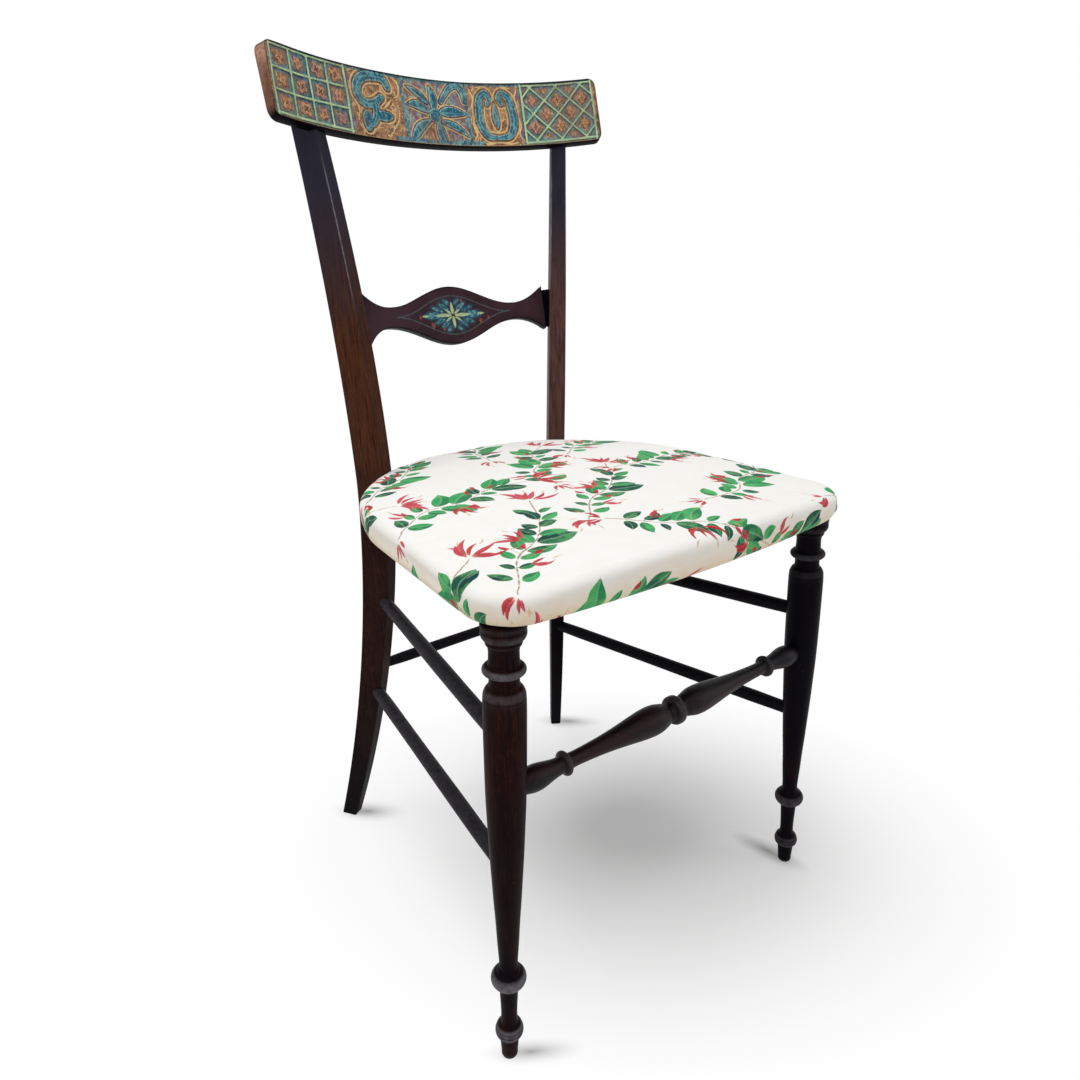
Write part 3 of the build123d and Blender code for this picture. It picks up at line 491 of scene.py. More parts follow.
def post_rings(side):
    """Sawn sabre post: a rounded rectangle carried up the sweep, let back behind the crest board."""
    stretches = ((0, 1.2, 4), (3, 762, 230), (763, POST_TOP - 1.2, 60), (POST_TOP, POST_TOP, 1))
    z = np.concatenate([np.linspace(*stretch) for stretch in stretches])
    ends = np.minimum(ease(z, -1.5, 1.2), ease(POST_TOP - z, -0.8, 1.2))
    depth = post_blend(z, *POST_DEPTH)
    half = np.stack([post_blend(z, *POST_WIDTH), depth], -1) / 2 - (POST_END_ROUND * (1 - ends))[:, None]
    section, near = rounded_section(half, POST_ARRIS, 14, 6)
    height = z[:, None]
    uneven = 0.10 * wobble(height / 40, near[None] * 3, 5)
    rings = post_place(section[..., 0] + uneven, section[..., 1] + depth[:, None] / 2, height)
    s, h, t = bent_measure(rings, *CREST_BEND)
    behind = bent_place(s, h, np.maximum(t, CREST_THICKNESS + 0.05), *CREST_BEND)
    rings = np.where((h > 0.2)[..., None], behind, rings)
    # Pale wear and painted highlight on the arrises, mostly between the mid rail and the crest.
    upper = 0.05 + 0.8 * ease(height, 600, 660) * (1 - ease(height, 725, 757))
    wear_and_highlight = near[None] * upper * (0.75 + 0.45 * wobble(height / 55, near[None], 9))
    return rings * [side, 1, 1], np.clip(wear_and_highlight, 0, 1)


# ------------------------------------------------------------------ drawing on a board
FAR = 9.0
PANEL_END, PANEL_OUTER, PANEL_INNER, PANEL_LOW, PANEL_HIGH = 182.0, 101.0, 36.5, 4.0, 61.5
SCROLL_MIDDLE, DRAWING_MIDDLE, DIAMOND_MIDDLE = 68.7, 32.5, 32.7


def nearest(*distances):
    """The least of several distances at each point."""
    return np.minimum.reduce(np.broadcast_arrays(*distances))


def as_field(distance, span):
    """Distances of -span / 2 to span / 2 as 0 to 1, with 0.5 on the outline."""
    return np.clip(distance / span + 0.5, 0, 1)


def inside_box(x, y, low, high):
    return (x > low[0]) & (x < high[0]) & (y > low[1]) & (y < high[1])


def strokes(x, y, path, widths, reach=7.0):
    """Signed distance to a brush stroke: the least of (distance to a point of its path - half width)."""
    near = inside_box(x, y, path.min(0) - reach, path.max(0) + reach)
    px, py = x[near], y[near]
    best = np.full(x.shape, 99.0)
    least = best[near]
    for (cx, cy), half in zip(path, widths):
        least = np.minimum(least, np.hypot(px - cx, py - cy) - half)
    best[near] = least
    return best


def brush(x, y, points, width, count=46, taper=0.35):
    """Stroke through a few points, full in its middle and thin at its ends."""
    t = np.clip(np.linspace(0, 1, count), 0.02, 0.98)
    widths = width * (taper + (1 - taper) * np.sin(np.pi * t) ** 0.7)
    return strokes(x, y, smooth_through(points, count), widths)


def brushes(x, y, width, count, *paths):
    return nearest(*(brush(x, y, path, width, count) for path in paths))


def leaf(x, y, base, tip, width, count=22, bow=0.0, point=0.9):
    """Pointed leaf from base to tip, fullest before its middle, its midrib bowed sideways."""
    base, tip = np.asarray(base, float), np.asarray(tip, float)
    t = np.linspace(0.02, 1, count)
    side = np.array([base[1] - tip[1], tip[0] - base[0]])
    path = base + t[:, None] * (tip - base) + (bow * np.sin(np.pi * t))[:, None] * side
    return strokes(x, y, path, width * np.sin(np.pi * t**0.8) ** point - 0.05)


def lattice_panel(s, h, columns, rows):
    """Square lattice: distances to its bars and to the blossoms in its cells."""
    wide, tall = (PANEL_END - PANEL_OUTER) / columns, (PANEL_HIGH - PANEL_LOW) / rows
    bars = [np.abs(s + PANEL_END - step * wide - 0.03 * (h - 32)) - 1.05 for step in range(1, columns)]
    bars += [np.abs(h - PANEL_LOW - step * tall - 0.012 * (s + PANEL_END)) - 1.0 for step in range(1, rows)]
    red = []
    for row in range(rows):
        for column in range(columns):
            size = 5.6 + 0.9 * math.sin(5 * row + 8 * column)
            turn = 0.785 + 0.5 * math.sin(7 * row + 3 * column)
            place = ((column + 0.5) * wide - PANEL_END, PANEL_LOW + (row + 0.5) * tall)
            red.append(blossom(s, h, *place, size, 4, turn))
    return nearest(*bars), nearest(*red)


def diamond_panel(s, h, pitch, lean):
    """Diagonal lattice about the middle of the right panel: distances to its bars and blossoms."""
    middle, wide = (PANEL_END + PANEL_OUTER) / 2, math.hypot(1, lean) * pitch
    bars, red = [], []
    for turn in (1, -1):
        across = (s - middle + turn * lean * (h - DIAMOND_MIDDLE)) / wide
        bars.append(np.abs(across - np.round(across)) * pitch - 1.05)
    for first in range(-4, 4):
        for second in range(-4, 4):
            cx = middle + wide * (first + second + 1) / 2
            cy = DIAMOND_MIDDLE + wide * (first - second) / (2 * lean)
            if PANEL_OUTER + 4 < cx < PANEL_END - 4 and PANEL_LOW + 4 < cy < PANEL_HIGH - 4:
                red.append(blossom(s, h, cx, cy, 5.2 + 0.6 * math.sin(3 * first + 5 * second), 4, 0.0))
    return nearest(*bars), nearest(*red)


def rosette_panel(x, y):
    """Blossom with pointed leaves round it and an arched stem above: distances to the forms and midribs."""
    arch = [(7, 11), (13, 19), (20, 26), (28, 28), (33, 22), (34.5, 13)]
    forms = [np.hypot(x + 2.0, y + 3.0) - 6.8, brush(x, y, arch, 2.7, 50, 0.6)]
    ribs = [brush(x, y, arch, 0.7, 50)]
    for base, tip, width, bow in (
        ((-4, 3), (-5, 26), 4.3, -0.13), ((-8, 8), (-31, 23), 3.2, -0.06), ((-8, 0), (-33, 5), 4.4, -0.13),
        ((-31, -29), (-7, -7), 4.4, 0.10), ((6, -31), (0, -7), 4.8, 0.04), ((4, -8), (34, -23), 3.4, 0.09),
        ((4, 1), (35, 0), 5.0, 0.05),
    ):
        base, tip = np.array([base, tip], float)
        forms.append(leaf(x, y, base, tip, width, bow=bow))
        ribs.append(brush(x, y, [base, (base + tip) / 2, 0.9 * tip + 0.1 * base], 0.7, 18))
    return nearest(*forms), nearest(*ribs)


def crest_drawing(s, h):
    """Signed distances, in mm, of the tablet's carved marks.

    First set: pale bars, blue forms, ochre lines, blossoms. Second set: light ribs, blue frames, plum patches
    and the middle three panels.
    """
    a, y = np.abs(s), h - DRAWING_MIDDLE
    middle, inner = a < PANEL_OUTER, a < PANEL_INNER
    bars = nearest(*(np.abs(s - x - 0.02 * (h - 32)) - 1.3 for x in (-PANEL_OUTER, PANEL_OUTER)))
    frame = nearest(np.abs(h - PANEL_LOW) - 1.2, np.abs(h - PANEL_HIGH) - 0.8, np.abs(a - PANEL_END) - 1.1)
    bars = np.where((a > PANEL_OUTER - 1.4) & (a < PANEL_END + 1.2), np.minimum(bars, frame), bars)
    red = np.full(s.shape, FAR)
    for hand, (lines, blooms) in ((-1, lattice_panel(s, h, 4, 3)), (1, diamond_panel(s, h, 19.5, 1.08))):
        here = hand * s > PANEL_OUTER
        inside = here & (a < PANEL_END) & (h > PANEL_LOW) & (h < PANEL_HIGH)
        bars = np.where(inside, np.minimum(bars, lines), bars)
        red = np.where(here, blooms, red)
    scroll, lyre = scroll_panel(s + SCROLL_MIDDLE, y), lyre_panel(s - SCROLL_MIDDLE, y)
    rosette = rosette_panel(s, y)
    blue = nearest(scroll[0], lyre[0], np.where(a < PANEL_INNER + 0.5, rosette[0], FAR))
    ribs = nearest(scroll[1], lyre[1], rosette[1])
    gold = nearest(np.abs(blue - 2.7) - 0.8, scroll[2], lyre[2])
    gold = np.where(inner, np.abs(rosette[0] - 1.9) - 0.6, gold)
    low_frame = np.where(a < PANEL_INNER + 16, np.abs(h - 3.4) - 2.6, FAR)
    frames = nearest(np.abs(a - PANEL_INNER) - 2.2, np.abs(h - 63.0) - 1.5, low_frame)
    plum = np.hypot((s - 25.5) / 1.1, (y - 15.0) / 1.3) - 5.0
    plum = np.minimum(plum, np.hypot(a - 95.5, (np.abs(y) - 20) / 1.5) - 3.5)
    middle_marks = (blue, gold, ribs, frames, plum)
    blue, gold, ribs, frames, plum = [np.where(middle, mark, FAR) for mark in middle_marks]
    return np.stack([bars, blue, gold, red], -1), np.stack([ribs, frames, plum, a - PANEL_OUTER], -1)


def blossom(x, y, cx, cy, size, petals, turn):
    """Small flower: distance to a wavy circle, its radius swelling once for each petal."""
    angle = np.arctan2(y - cy, x - cx) + turn
    return np.hypot((x - cx) * 1.12, (y - cy) * 0.84) - size * (0.78 + 0.22 * np.cos(petals * angle))


def scroll_panel(x, y):
    """Open volute, its tail turned down into a leaf and a block: distances to forms, ribs and curls."""
    body = [(16, 18), (12, 25), (2, 26.5), (-11, 24), (-19, 15), (-19, 5), (-12, 0), (-2, 1.5), (7, 8)]
    tail = [(-1, 2), (-1, -6), (-3, -13), (-7, -18)]
    forms = nearest(
        brush(x, y, body, 4.6, 70, 0.55), brush(x, y, tail, 3.6, 30, 0.8),
        leaf(x, y, (-13, -8), (-13, -26), 6.0, bow=0.05), leaf(x, y, (0, -10), (16, -9), 4.8, point=0.5),
    )
    ribs = np.minimum(brush(x, y, body, 0.8, 70), brush(x, y, tail, 0.7, 30))
    return forms, ribs, brushes(
        x, y, 1.2, 30, [(20, 14), (25, 3), (23, -12), (17, -20), (10, -28), (3.5, -21), (-9, -28.5)],
        [(18, 7), (13, 2), (8, -2.5)], [(-27, 27), (-20, 30), (-12, 29.5)],
        [(21, 29), (28, 24), (27, 12), (22, 9)], [(-28, 17), (-27, 5), (-21, -4), (-23, -17)],
    )


def lyre_panel(x, y):
    """Lyre of two mirrored C-curves round a drop: distances to forms, ribs and curls."""
    x = np.abs(x)
    body = [(1.5, -23), (12, -21.5), (19.5, -10), (19, 6), (15.5, 18), (9, 21.5), (5.5, 16), (8.5, 11)]
    forms = np.minimum(brush(x, y, body, 4.2, 60, 0.45), leaf(x, y, (0.0, -14), (0.0, 13), 3.4))
    ribs = np.minimum(brush(x, y, body, 0.8, 60), brush(x, y, [(0, -10), (0, 0), (0, 9)], 0.7, 14))
    return forms, ribs, brushes(
        x, y, 1.1, 24, [(30, -28), (25, -20), (28, -10), (25, -2)], [(28, 6), (24, 16), (28, 26)],
        [(20, 27), (11, 28.5), (2, 25)], [(22, -28), (12, -29.5), (3, -28)],
    )


def ornament_drawing(s, h):
    """Mid rail ornament: distances to the pointed oval line, yellow cross, blue leaves and red spots."""
    reach, tall = 71.0, 20.5
    a, b = np.abs(s), np.abs(h)
    t = np.clip(a / reach, 0, 1)
    oval = tall * (0.5 + 0.5 * np.cos(np.pi * t)) ** 1.05
    slope = tall * np.pi / (2 * reach) * np.sin(np.pi * t)
    line = np.where(a > reach, FAR, np.abs(b - oval) / np.hypot(1, slope) - 0.6)
    cross, blues = [nearest(*(leaf(a, b, *row) for row in rows)) for rows in (
        (((1, 0), (24, 0), 2.0), ((0, 1), (0, 14.5), 2.0), ((1.5, 1.5), (10, 6.5), 1.2),
         ((30, 0), (39, 0), 1.3)),
        (((15, 0), (36, 0), 3.8), ((5, 5.5), (16, 12.5), 2.6), ((11, 4), (25, 8.5), 2.2),
         ((3, 12), (10, 16.5), 1.9)),
    )]
    spots = ((-41, -1, 2.2), (-27, -10, 3.4), (-14, -14, 2.4), (33, -8, 2.6), (43, -5, 2.0), (13, 14.5, 2.2))
    return line, cross, blues, nearest(*(blossom(s, h, x, y, size, 5, 0.4 * x) for x, y, size in spots))


# ------------------------------------------------------------------ bent boards
def board_grid(half, low, high, thickness, columns, rows, back_rows, edge):
    """(s, h, t) of a bent board as rings: front rows, over the top edge, down the back, under the lower edge.

    low and high give the board's outline at each s; the four long edges are rounded by the given radius. Also
    returns 1 on the front rows and 0 elsewhere.
    """
    end = np.r_[-half, np.linspace(-half + 0.25, -half + 2.0, 5)]
    s = np.concatenate([end, np.linspace(-half + 3.0, half - 3.0, columns), -end[::-1]])
    turn = np.linspace(0, np.pi / 2, 5)[1:-1]
    sine, cosine = edge * np.sin(turn), edge * np.cos(turn)
    inner_low, inner_high = low(s)[:, None] + edge, high(s)[:, None] - edge
    rise = inner_high - inner_low
    parts = (
        (inner_low + rise * np.linspace(0, 1, rows), np.zeros(rows)),
        (inner_high + sine, edge - cosine),
        (inner_high + cosine, thickness - edge + sine),
        (inner_low + rise * np.linspace(1, 0, back_rows), np.full(back_rows, thickness)),
        (inner_low - sine, thickness - edge + cosine),
        (inner_low - cosine, edge - sine),
    )
    h = np.concatenate([part[0] for part in parts], 1)
    t = np.tile(np.concatenate([part[1] for part in parts]), (len(s), 1))
    front = np.zeros(h.shape)
    front[:, :rows] = 1
    return np.repeat(s[:, None], h.shape[1], 1), h, t, front


def crest_arrays():
    """Crest tablet: outline with rounded corners, its face carved about 1 mm deep round the motifs."""
    corner, margin = 8.0, (0.8, 2.6)

    def rounded(s):
        past = np.clip(np.abs(s) - (CREST_HALF - corner), 0, corner)
        return corner - np.sqrt(np.maximum(corner**2 - past**2, 0.0))

    def low(s):
        return rounded(s) + 0.25 * wobble(s / 60, 0 * s, 3)

    def high(s):
        return CREST_HEIGHT - rounded(s) + 0.35 * wobble(s / 45, 0 * s, 4) - 0.8 * ease(-s, 165, CREST_HALF)

    s, h, t, front = board_grid(CREST_HALF, low, high, CREST_THICKNESS, 900, 170, 18, 1.3)
    marks, more = crest_drawing(s + 0.9 * wobble(s / 14, h / 14, 7), h + 0.7 * wobble(s / 12, h / 16, 8))
    bars, blue, gold, red = np.moveaxis(marks, -1, 0)
    inside = front * ease(h, *margin) * ease(CREST_HEIGHT - h, *margin)
    inside = inside * ease(CREST_HALF - np.abs(s), 0.5, 3.5)
    heights = ((bars, 1.0, -0.7, 0.9), (blue, 1.0, -0.8, 1.0), (red, 0.85, -0.8, 1.0), (gold, 0.6, -0.6, 0.8))
    raised = np.maximum.reduce([share * (1 - ease(mark, start, end)) for mark, share, start, end in heights])
    gouge = 0.25 * wobble(s / 2.2, h / 2.6, 12) + 0.2 * wobble(s / 5.0, h / 4.0, 13)
    t = t + inside * ((1 - raised) * (1.05 + gouge) + 0.10 * gouge)
    lean = (0.04 - 0.0025 * np.clip(t, 0, CREST_THICKNESS)) * (h - CREST_HEIGHT / 2)
    low_front = (1 - h / CREST_HEIGHT) * (1 - np.clip(t / CREST_THICKNESS, 0, 1))
    points = bent_place(s + lean - 3.0 * ease(-s, 165, CREST_HALF) * low_front, h, t, *CREST_BEND)
    place = np.stack([(s + 200) / 400, h / 80, front, inside], -1)
    return points, {"marks": as_field(marks, 8), "more": as_field(more, 8), "place": place}


def mid_arrays():
    """Waisted mid rail: a cosine swell down to a neck at each side, then a power curve up to the tips."""
    half, waist = 113.0, 76.5

    def high(s):
        a, left = np.abs(s), ease(-s, 20.0, waist)
        neck = 8.9 + 1.5 * left
        swell = neck + (30.5 - neck) * (0.5 + 0.5 * np.cos(np.pi * np.clip(a / waist, 0, 1)))
        flare = np.clip((a - waist) / (half - waist - 4.0 * left), 0, 1.04) ** (2.0 + 0.2 * left)
        return np.where(a < waist, swell, neck + (14.7 + 1.3 * left) * flare)

    s, h, t, front = board_grid(half, lambda s: -high(s), high, MID_THICKNESS, 460, 70, 12, 1.1)
    lean = s + np.sign(s) * 1.3 * (h / 23.6) * ease(np.abs(s), 88, half)
    points = bent_place(lean, h + MID_LIFT - MID_SLOPE * s, t, *MID_BEND)
    marks = ornament_drawing(s + 0.5 * wobble(s / 9, h / 9, 21), h + 0.4 * wobble(s / 8, h / 9, 22))
    edge = ease(np.abs(h) - high(s), -2.0, -0.4)
    place = np.stack([(s + 200) / 400, h / 80 + 0.5, front, edge], -1)
    return points, {"marks": as_field(np.stack(marks, -1), 8), "place": place}


def tongue_rings(side):
    """Plain tongue between a flared tip and the post, set back from the rail's face."""
    start, end, half_height, half_deep, back = 108.0, 126.5, 20.3, 4.0, 6.0
    turn = np.linspace(0, 2 * np.pi, 64, endpoint=False)
    section = np.stack([np.cos(turn), np.sin(turn)], -1)
    square = section / np.abs(section).max(1, keepdims=True)
    h = half_height * square[:, 0] + MID_LIFT - 1.0 - MID_SLOPE * side * start
    s, t = side * np.linspace(start, end, 60)[:, None], back + half_deep * square[:, 1]
    return bent_place(*np.broadcast_arrays(s, h, t), *MID_BEND)


# ------------------------------------------------------------------ upholstered seat
SEAT_FRONT_Y, SEAT_FRONT_BOW, SEAT_FRONT_HALF = -41.0, 15.0, 210.0
SEAT_BACK_HALF, SEAT_BACK_Y = 178.0, 346.0
SEAT_FRONT_CORNER, SEAT_BACK_CORNER = 46.0, 178.0
SEAT_TOP = SEAT_BOTTOM + 41.0
SEAT_CROWN, SEAT_SPAN = 12.5, 250.0
SEAT_MIDDLE = (SEAT_FRONT_Y + SEAT_BACK_Y) / 2
HELD_HEIGHT, DUST_INSET = 7.0, 21.0
TOP_ROUND, LOW_ROUND, HEM = 8.0, 18.0, 26.0
# The rim lies at this share of the disc; past it lie the upper edge, side, lower edge and underside.
RIM_AT, PAD_STRETCHES = 0.78, ((0.0, 0.27), (0.27, 0.37), (0.37, 0.85), (0.85, 1.0))


def arc_points(centre, radius, start, end, count):
    """Points of an arc, each with its outward direction beside it."""
    angle = np.linspace(start, end, count)
    out = np.stack([np.cos(angle), np.sin(angle)], -1)
    return np.concatenate([centre + radius * out, out], 1)


def seat_plan(turn):
    """Seat outline and its outward direction at shares of its length from the middle of the front.

    A shallow front arc, a small arc at each front corner, straight sides and two large arcs that meet at
    the back.
    """
    bow = (SEAT_FRONT_HALF**2 + SEAT_FRONT_BOW**2) / (2 * SEAT_FRONT_BOW)
    bow_middle = np.array([0, SEAT_FRONT_Y + bow])
    start = np.array([SEAT_FRONT_HALF, SEAT_FRONT_Y + SEAT_FRONT_BOW])
    along = np.array([SEAT_BACK_HALF, SEAT_BACK_Y]) - start
    along /= np.linalg.norm(along)
    inward = np.array([-along[1], along[0]])
    base = start + SEAT_FRONT_CORNER * inward - bow_middle
    run = base @ along
    shift = -run - math.sqrt(run**2 - base @ base + (bow - SEAT_FRONT_CORNER) ** 2)
    front = bow_middle + base + shift * along
    back = start + SEAT_BACK_CORNER * inward
    back = back + (SEAT_BACK_Y - SEAT_BACK_CORNER - back[1]) / along[1] * along
    bow_angle = math.atan2(*(front - bow_middle)[::-1])
    side_angle = math.atan2(*-inward[::-1])
    half = np.concatenate([
        arc_points(bow_middle, bow, -math.pi / 2, bow_angle, 200),
        arc_points(front, SEAT_FRONT_CORNER, bow_angle, side_angle, 200),
        arc_points(back, SEAT_BACK_CORNER, side_angle, math.pi / 2, 400),
        [[0, SEAT_BACK_Y, 0, 1]],
    ])
    whole = np.concatenate([half, half[::-1] * [-1, 1, -1, 1]])
    length = np.r_[0, np.cumsum(np.linalg.norm(np.diff(whole[:, :2], axis=0), axis=1))]
    at = np.mod(turn, 1.0) * length[-1]
    place = np.stack([np.interp(at, length, column) for column in whole.T], -1)
    out = place[..., 2:]
    return place[..., :2], out / np.linalg.norm(out, axis=-1, keepdims=True)


def round_grid(count):
    """Square grid pressed into a disc: radius 0 to 1 and turn 0 to 1 (0 at the front) for its points."""
    a, b = np.meshgrid(np.linspace(-1, 1, count), np.linspace(-1, 1, count), indexing="ij")
    wide = np.abs(a) > np.abs(b)
    radius = np.where(wide, a, b)
    safe = np.where(np.abs(radius) < 1e-9, 1.0, radius)
    angle = np.where(wide, np.pi / 4 * b / safe, np.pi / 2 - np.pi / 4 * a / safe)
    angle = np.where(radius < 0, angle + np.pi, angle)
    return np.abs(radius), np.mod(angle / (2 * np.pi) + 0.25, 1.0)


def crown_height(x, y):
    """Height of the crowned top: a sphere cap over the middle of the seat."""
    ball = (SEAT_SPAN**2 + SEAT_CROWN**2) / (2 * SEAT_CROWN)
    return SEAT_TOP - ball + np.sqrt(ball**2 - x**2 - (y - SEAT_MIDDLE) ** 2)


def pad_surface(count, grow=0.0):
    """Cover from the middle of the top, over the rim, down the side and under to the hem.

    The disc's inner part is the crowned top, drawn in to the rim; the rest runs round the upper edge, down
    the side, round the lower edge and along the underside. Returns the points, how far each lies past the rim
    on a scale of 0 to 1, and its place on the flat cloth.
    """
    radius, turn = round_grid(count)
    rim, out = seat_plan(turn)
    middle = np.array([0.0, SEAT_MIDDLE])
    flat = middle + np.clip(radius / RIM_AT, 0, 1)[..., None] * (rim - (TOP_ROUND + grow) * out - middle)
    past = np.clip((radius - RIM_AT) / (1 - RIM_AT), 0, 1)
    shares = [np.clip((past - start) / (end - start), 0, 1) for start, end in PAD_STRETCHES]
    upper, down, lower, under = shares[0] * np.pi / 2, shares[1], shares[2] * np.pi / 2, shares[3]
    turned_under = (HEM - LOW_ROUND) * under
    inset = grow + TOP_ROUND * (1 - np.sin(upper)) + LOW_ROUND * (1 - np.cos(lower)) + turned_under
    beyond = (past > 0)[..., None]
    place = np.where(beyond, rim - inset[..., None] * out, flat)
    side_high, side_low = crown_height(rim[..., 0], rim[..., 1]) - TOP_ROUND, SEAT_BOTTOM + LOW_ROUND
    rounded = crown_height(place[..., 0], place[..., 1]) - TOP_ROUND * (1 - np.cos(upper))
    side = side_high + (side_low - side_high) * down - LOW_ROUND * np.sin(lower)
    height = np.where(past <= PAD_STRETCHES[0][1], rounded, side)
    lengths = TOP_ROUND * upper + (side_high - side_low) * down + LOW_ROUND * lower + turned_under
    cloth = np.where(beyond, rim + (lengths - TOP_ROUND)[..., None] * out, flat)
    return np.concatenate([place, height[..., None]], -1), past, cloth


def square_faces(count, flip=False):
    index = np.arange(count * count).reshape(count, count)
    quads = np.stack([index[:-1, :-1], index[1:, :-1], index[1:, 1:], index[:-1, 1:]], -1).reshape(-1, 4)
    return quads[:, ::-1] if flip else quads


def plan_disc(count, inset):
    """Points over the seat's plan, drawn in by inset at its edge, and each point's share of the way there."""
    radius, turn = round_grid(count)
    edge, out = seat_plan(turn)
    middle = np.array([0.0, SEAT_MIDDLE])
    return middle + radius[..., None] * (edge - inset * out - middle), radius


def closed_pad(name, points, fields=None, cloth=None):
    """Closes a count x count cover with a flat underside that shares its outer edge."""
    count = points.shape[0]
    flat, _ = plan_disc(count, HEM)
    under = np.concatenate([flat, np.full((count, count, 1), SEAT_BOTTOM)], -1)
    inner = np.zeros((count, count), bool)
    inner[1:-1, 1:-1] = True
    inner = inner.ravel()

    def both(top, bottom):
        top, bottom = [values.reshape(count * count, *values.shape[2:]) for values in (top, bottom)]
        return np.concatenate([top, bottom[inner]])

    link = np.arange(count * count)
    link[inner] = count * count + np.arange(inner.sum())
    quads = np.concatenate([square_faces(count), link[square_faces(count, flip=True)]])
    fields = {key: both(values, values) for key, values in (fields or {}).items()}
    uv = None if cloth is None else both(cloth, cloth) / 1000
    return make_piece(name, to_metres(both(points, under)), quads, (), fields, uv)


def settle(points, cap, frames=20):
    """Inflates the coarse pad as cloth held along its underside; returns each cover point's move, in mm."""
    count = points.shape[0]
    piece = closed_pad("seat_pad", points)
    rest = np.array([vertex.co for vertex in piece.data.vertices])
    held = np.nonzero(rest[:, 2] < (SEAT_BOTTOM + HELD_HEIGHT) / 1000)[0]
    piece.vertex_groups.new(name="held").add(held.tolist(), 1.0, "REPLACE")
    cloth = piece.modifiers.new("Cloth", "CLOTH")
    cloth.settings.quality = 5
    cloth.settings.mass = 0.3
    cloth.settings.use_pressure = True
    cloth.settings.uniform_pressure_force = 4.0
    cloth.settings.vertex_group_mass = "held"
    cloth.settings.effector_weights.gravity = 0.0
    cloth.collision_settings.use_collision = False
    cloth.point_cache.frame_end = frames
    scene = bpy.context.scene
    for frame in range(1, frames + 1):
        scene.frame_set(frame)
    shape = piece.evaluated_get(bpy.context.evaluated_depsgraph_get()).to_mesh()
    moved = np.empty(3 * len(shape.vertices), np.float32)
    shape.vertices.foreach_get("co", moved)
    scene.frame_set(1)
    bpy.data.objects.remove(piece)
    moved = 1000 * (moved.reshape(-1, 3)[: count * count].astype(float) - to_metres(points.reshape(-1, 3)))
    far = np.linalg.norm(moved, axis=1, keepdims=True)
    return (moved * np.minimum(1, cap / np.maximum(far, 1e-6))).reshape(count, count, 3)


def finer(values, count):
    """Values of a square grid carried to a finer one, a cubic through every row and then every column."""
    for _ in range(2):
        steps = len(values) - 1
        t = np.linspace(0, steps, count)
        k = np.clip(t.astype(int), 0, steps - 1)
        u, slope = (t - k)[:, None, None], np.gradient(values, axis=0)
        values = np.swapaxes(cubic(u, values[k], slope[k], values[k + 1], slope[k + 1]), 0, 1)
    return values


# ------------------------------------------------------------------ printed pattern
SPRAY_STEPS = 89
# Flower heads of a spray: step of the stem, turn away from its heading, number of petals and size.
SPRAY_HEADS = ((SPRAY_STEPS, 0.0, 7, 1.25), (40, 1.35, 5, 0.95), (14, -1.25, 3, 0.8), (0, 3.0, 4, 0.85))
SPRAY_SPINES = (
    [(-78, -26), (-42, -6), (-8, -4), (30, 12), (62, 36)],
    [(-72, 26), (-38, 4), (0, 5), (38, -10), (74, -8)],
    [(-56, -38), (-28, -10), (2, 5), (24, 30), (38, 62)],
)


def spray_parts(kind):
    """Stems, leaves, petals and buds of one spray about its own middle, in mm, from a fixed random seed."""
    rng = np.random.default_rng(40 + kind)
    stem = smooth_through(SPRAY_SPINES[kind], SPRAY_STEPS + 1)
    tangent = np.gradient(stem, axis=0)
    heading = np.arctan2(tangent[:, 1], tangent[:, 0])
    stems, leaves, petals, buds = [(stem, 0.8)], [], [], []

    def ray(start, angle, long):
        return start + long * np.array([math.cos(angle), math.sin(angle)])

    def stalk(start, end, lift, count, half):
        stems.append((smooth_through([start, (start + end) / 2 + lift, end], count), half))

    for step, t in enumerate(np.linspace(0.05, 0.84, 9)):
        k = int(t * SPRAY_STEPS)
        full = 1.25 if step in (3, 4, 7) else 0.85
        for hand in (1, -1):
            angle = heading[k] + hand * rng.uniform(0.55, 1.25)
            long = full * rng.uniform(17, 31)
            root = ray(stem[k], angle, rng.uniform(1.5, 4.5))
            wide = long * rng.uniform(0.20, 0.30)
            leaves.append((root, ray(root, angle, long), wide, rng.uniform(-0.16, 0.16), rng.uniform(0, 1)))
    for end, lean, many, size in SPRAY_HEADS:
        turn = heading[end] + lean
        head = ray(stem[end], turn, 9.0)
        stalk(stem[end], head, 0.8, 12, 0.65)
        for step in range(many):
            angle = turn + (step - (many - 1) / 2) * 0.37 + rng.uniform(-0.08, 0.08)
            tip, root = ray(head, angle, size * rng.uniform(18, 32)), ray(head, angle, 2.5 + 1.5 * (step % 2))
            wide = size * rng.uniform(1.5, 2.5)
            petals.append((root, tip, wide, rng.uniform(-0.26, 0.26), rng.uniform(0, 1)))
            if step % 2:
                feeler = ray(tip, angle + rng.uniform(-0.4, 0.4), rng.uniform(4, 10))
                buds.append((tip + 0.2 * (head - tip), feeler, 0.9, 0.15, 0.5))
    for _ in range(4):
        k = int(rng.uniform(0.1, 0.9) * SPRAY_STEPS)
        angle = rng.uniform(0, 2 * np.pi)
        start = ray(stem[k], angle, 13.0)
        petals.append((start, ray(start, angle + 0.4, rng.uniform(9, 15)), 2.2, 0.15, 0.3))
        stalk(stem[k], start, 1.0, 10, 0.5)
    return stems, leaves, petals, buds


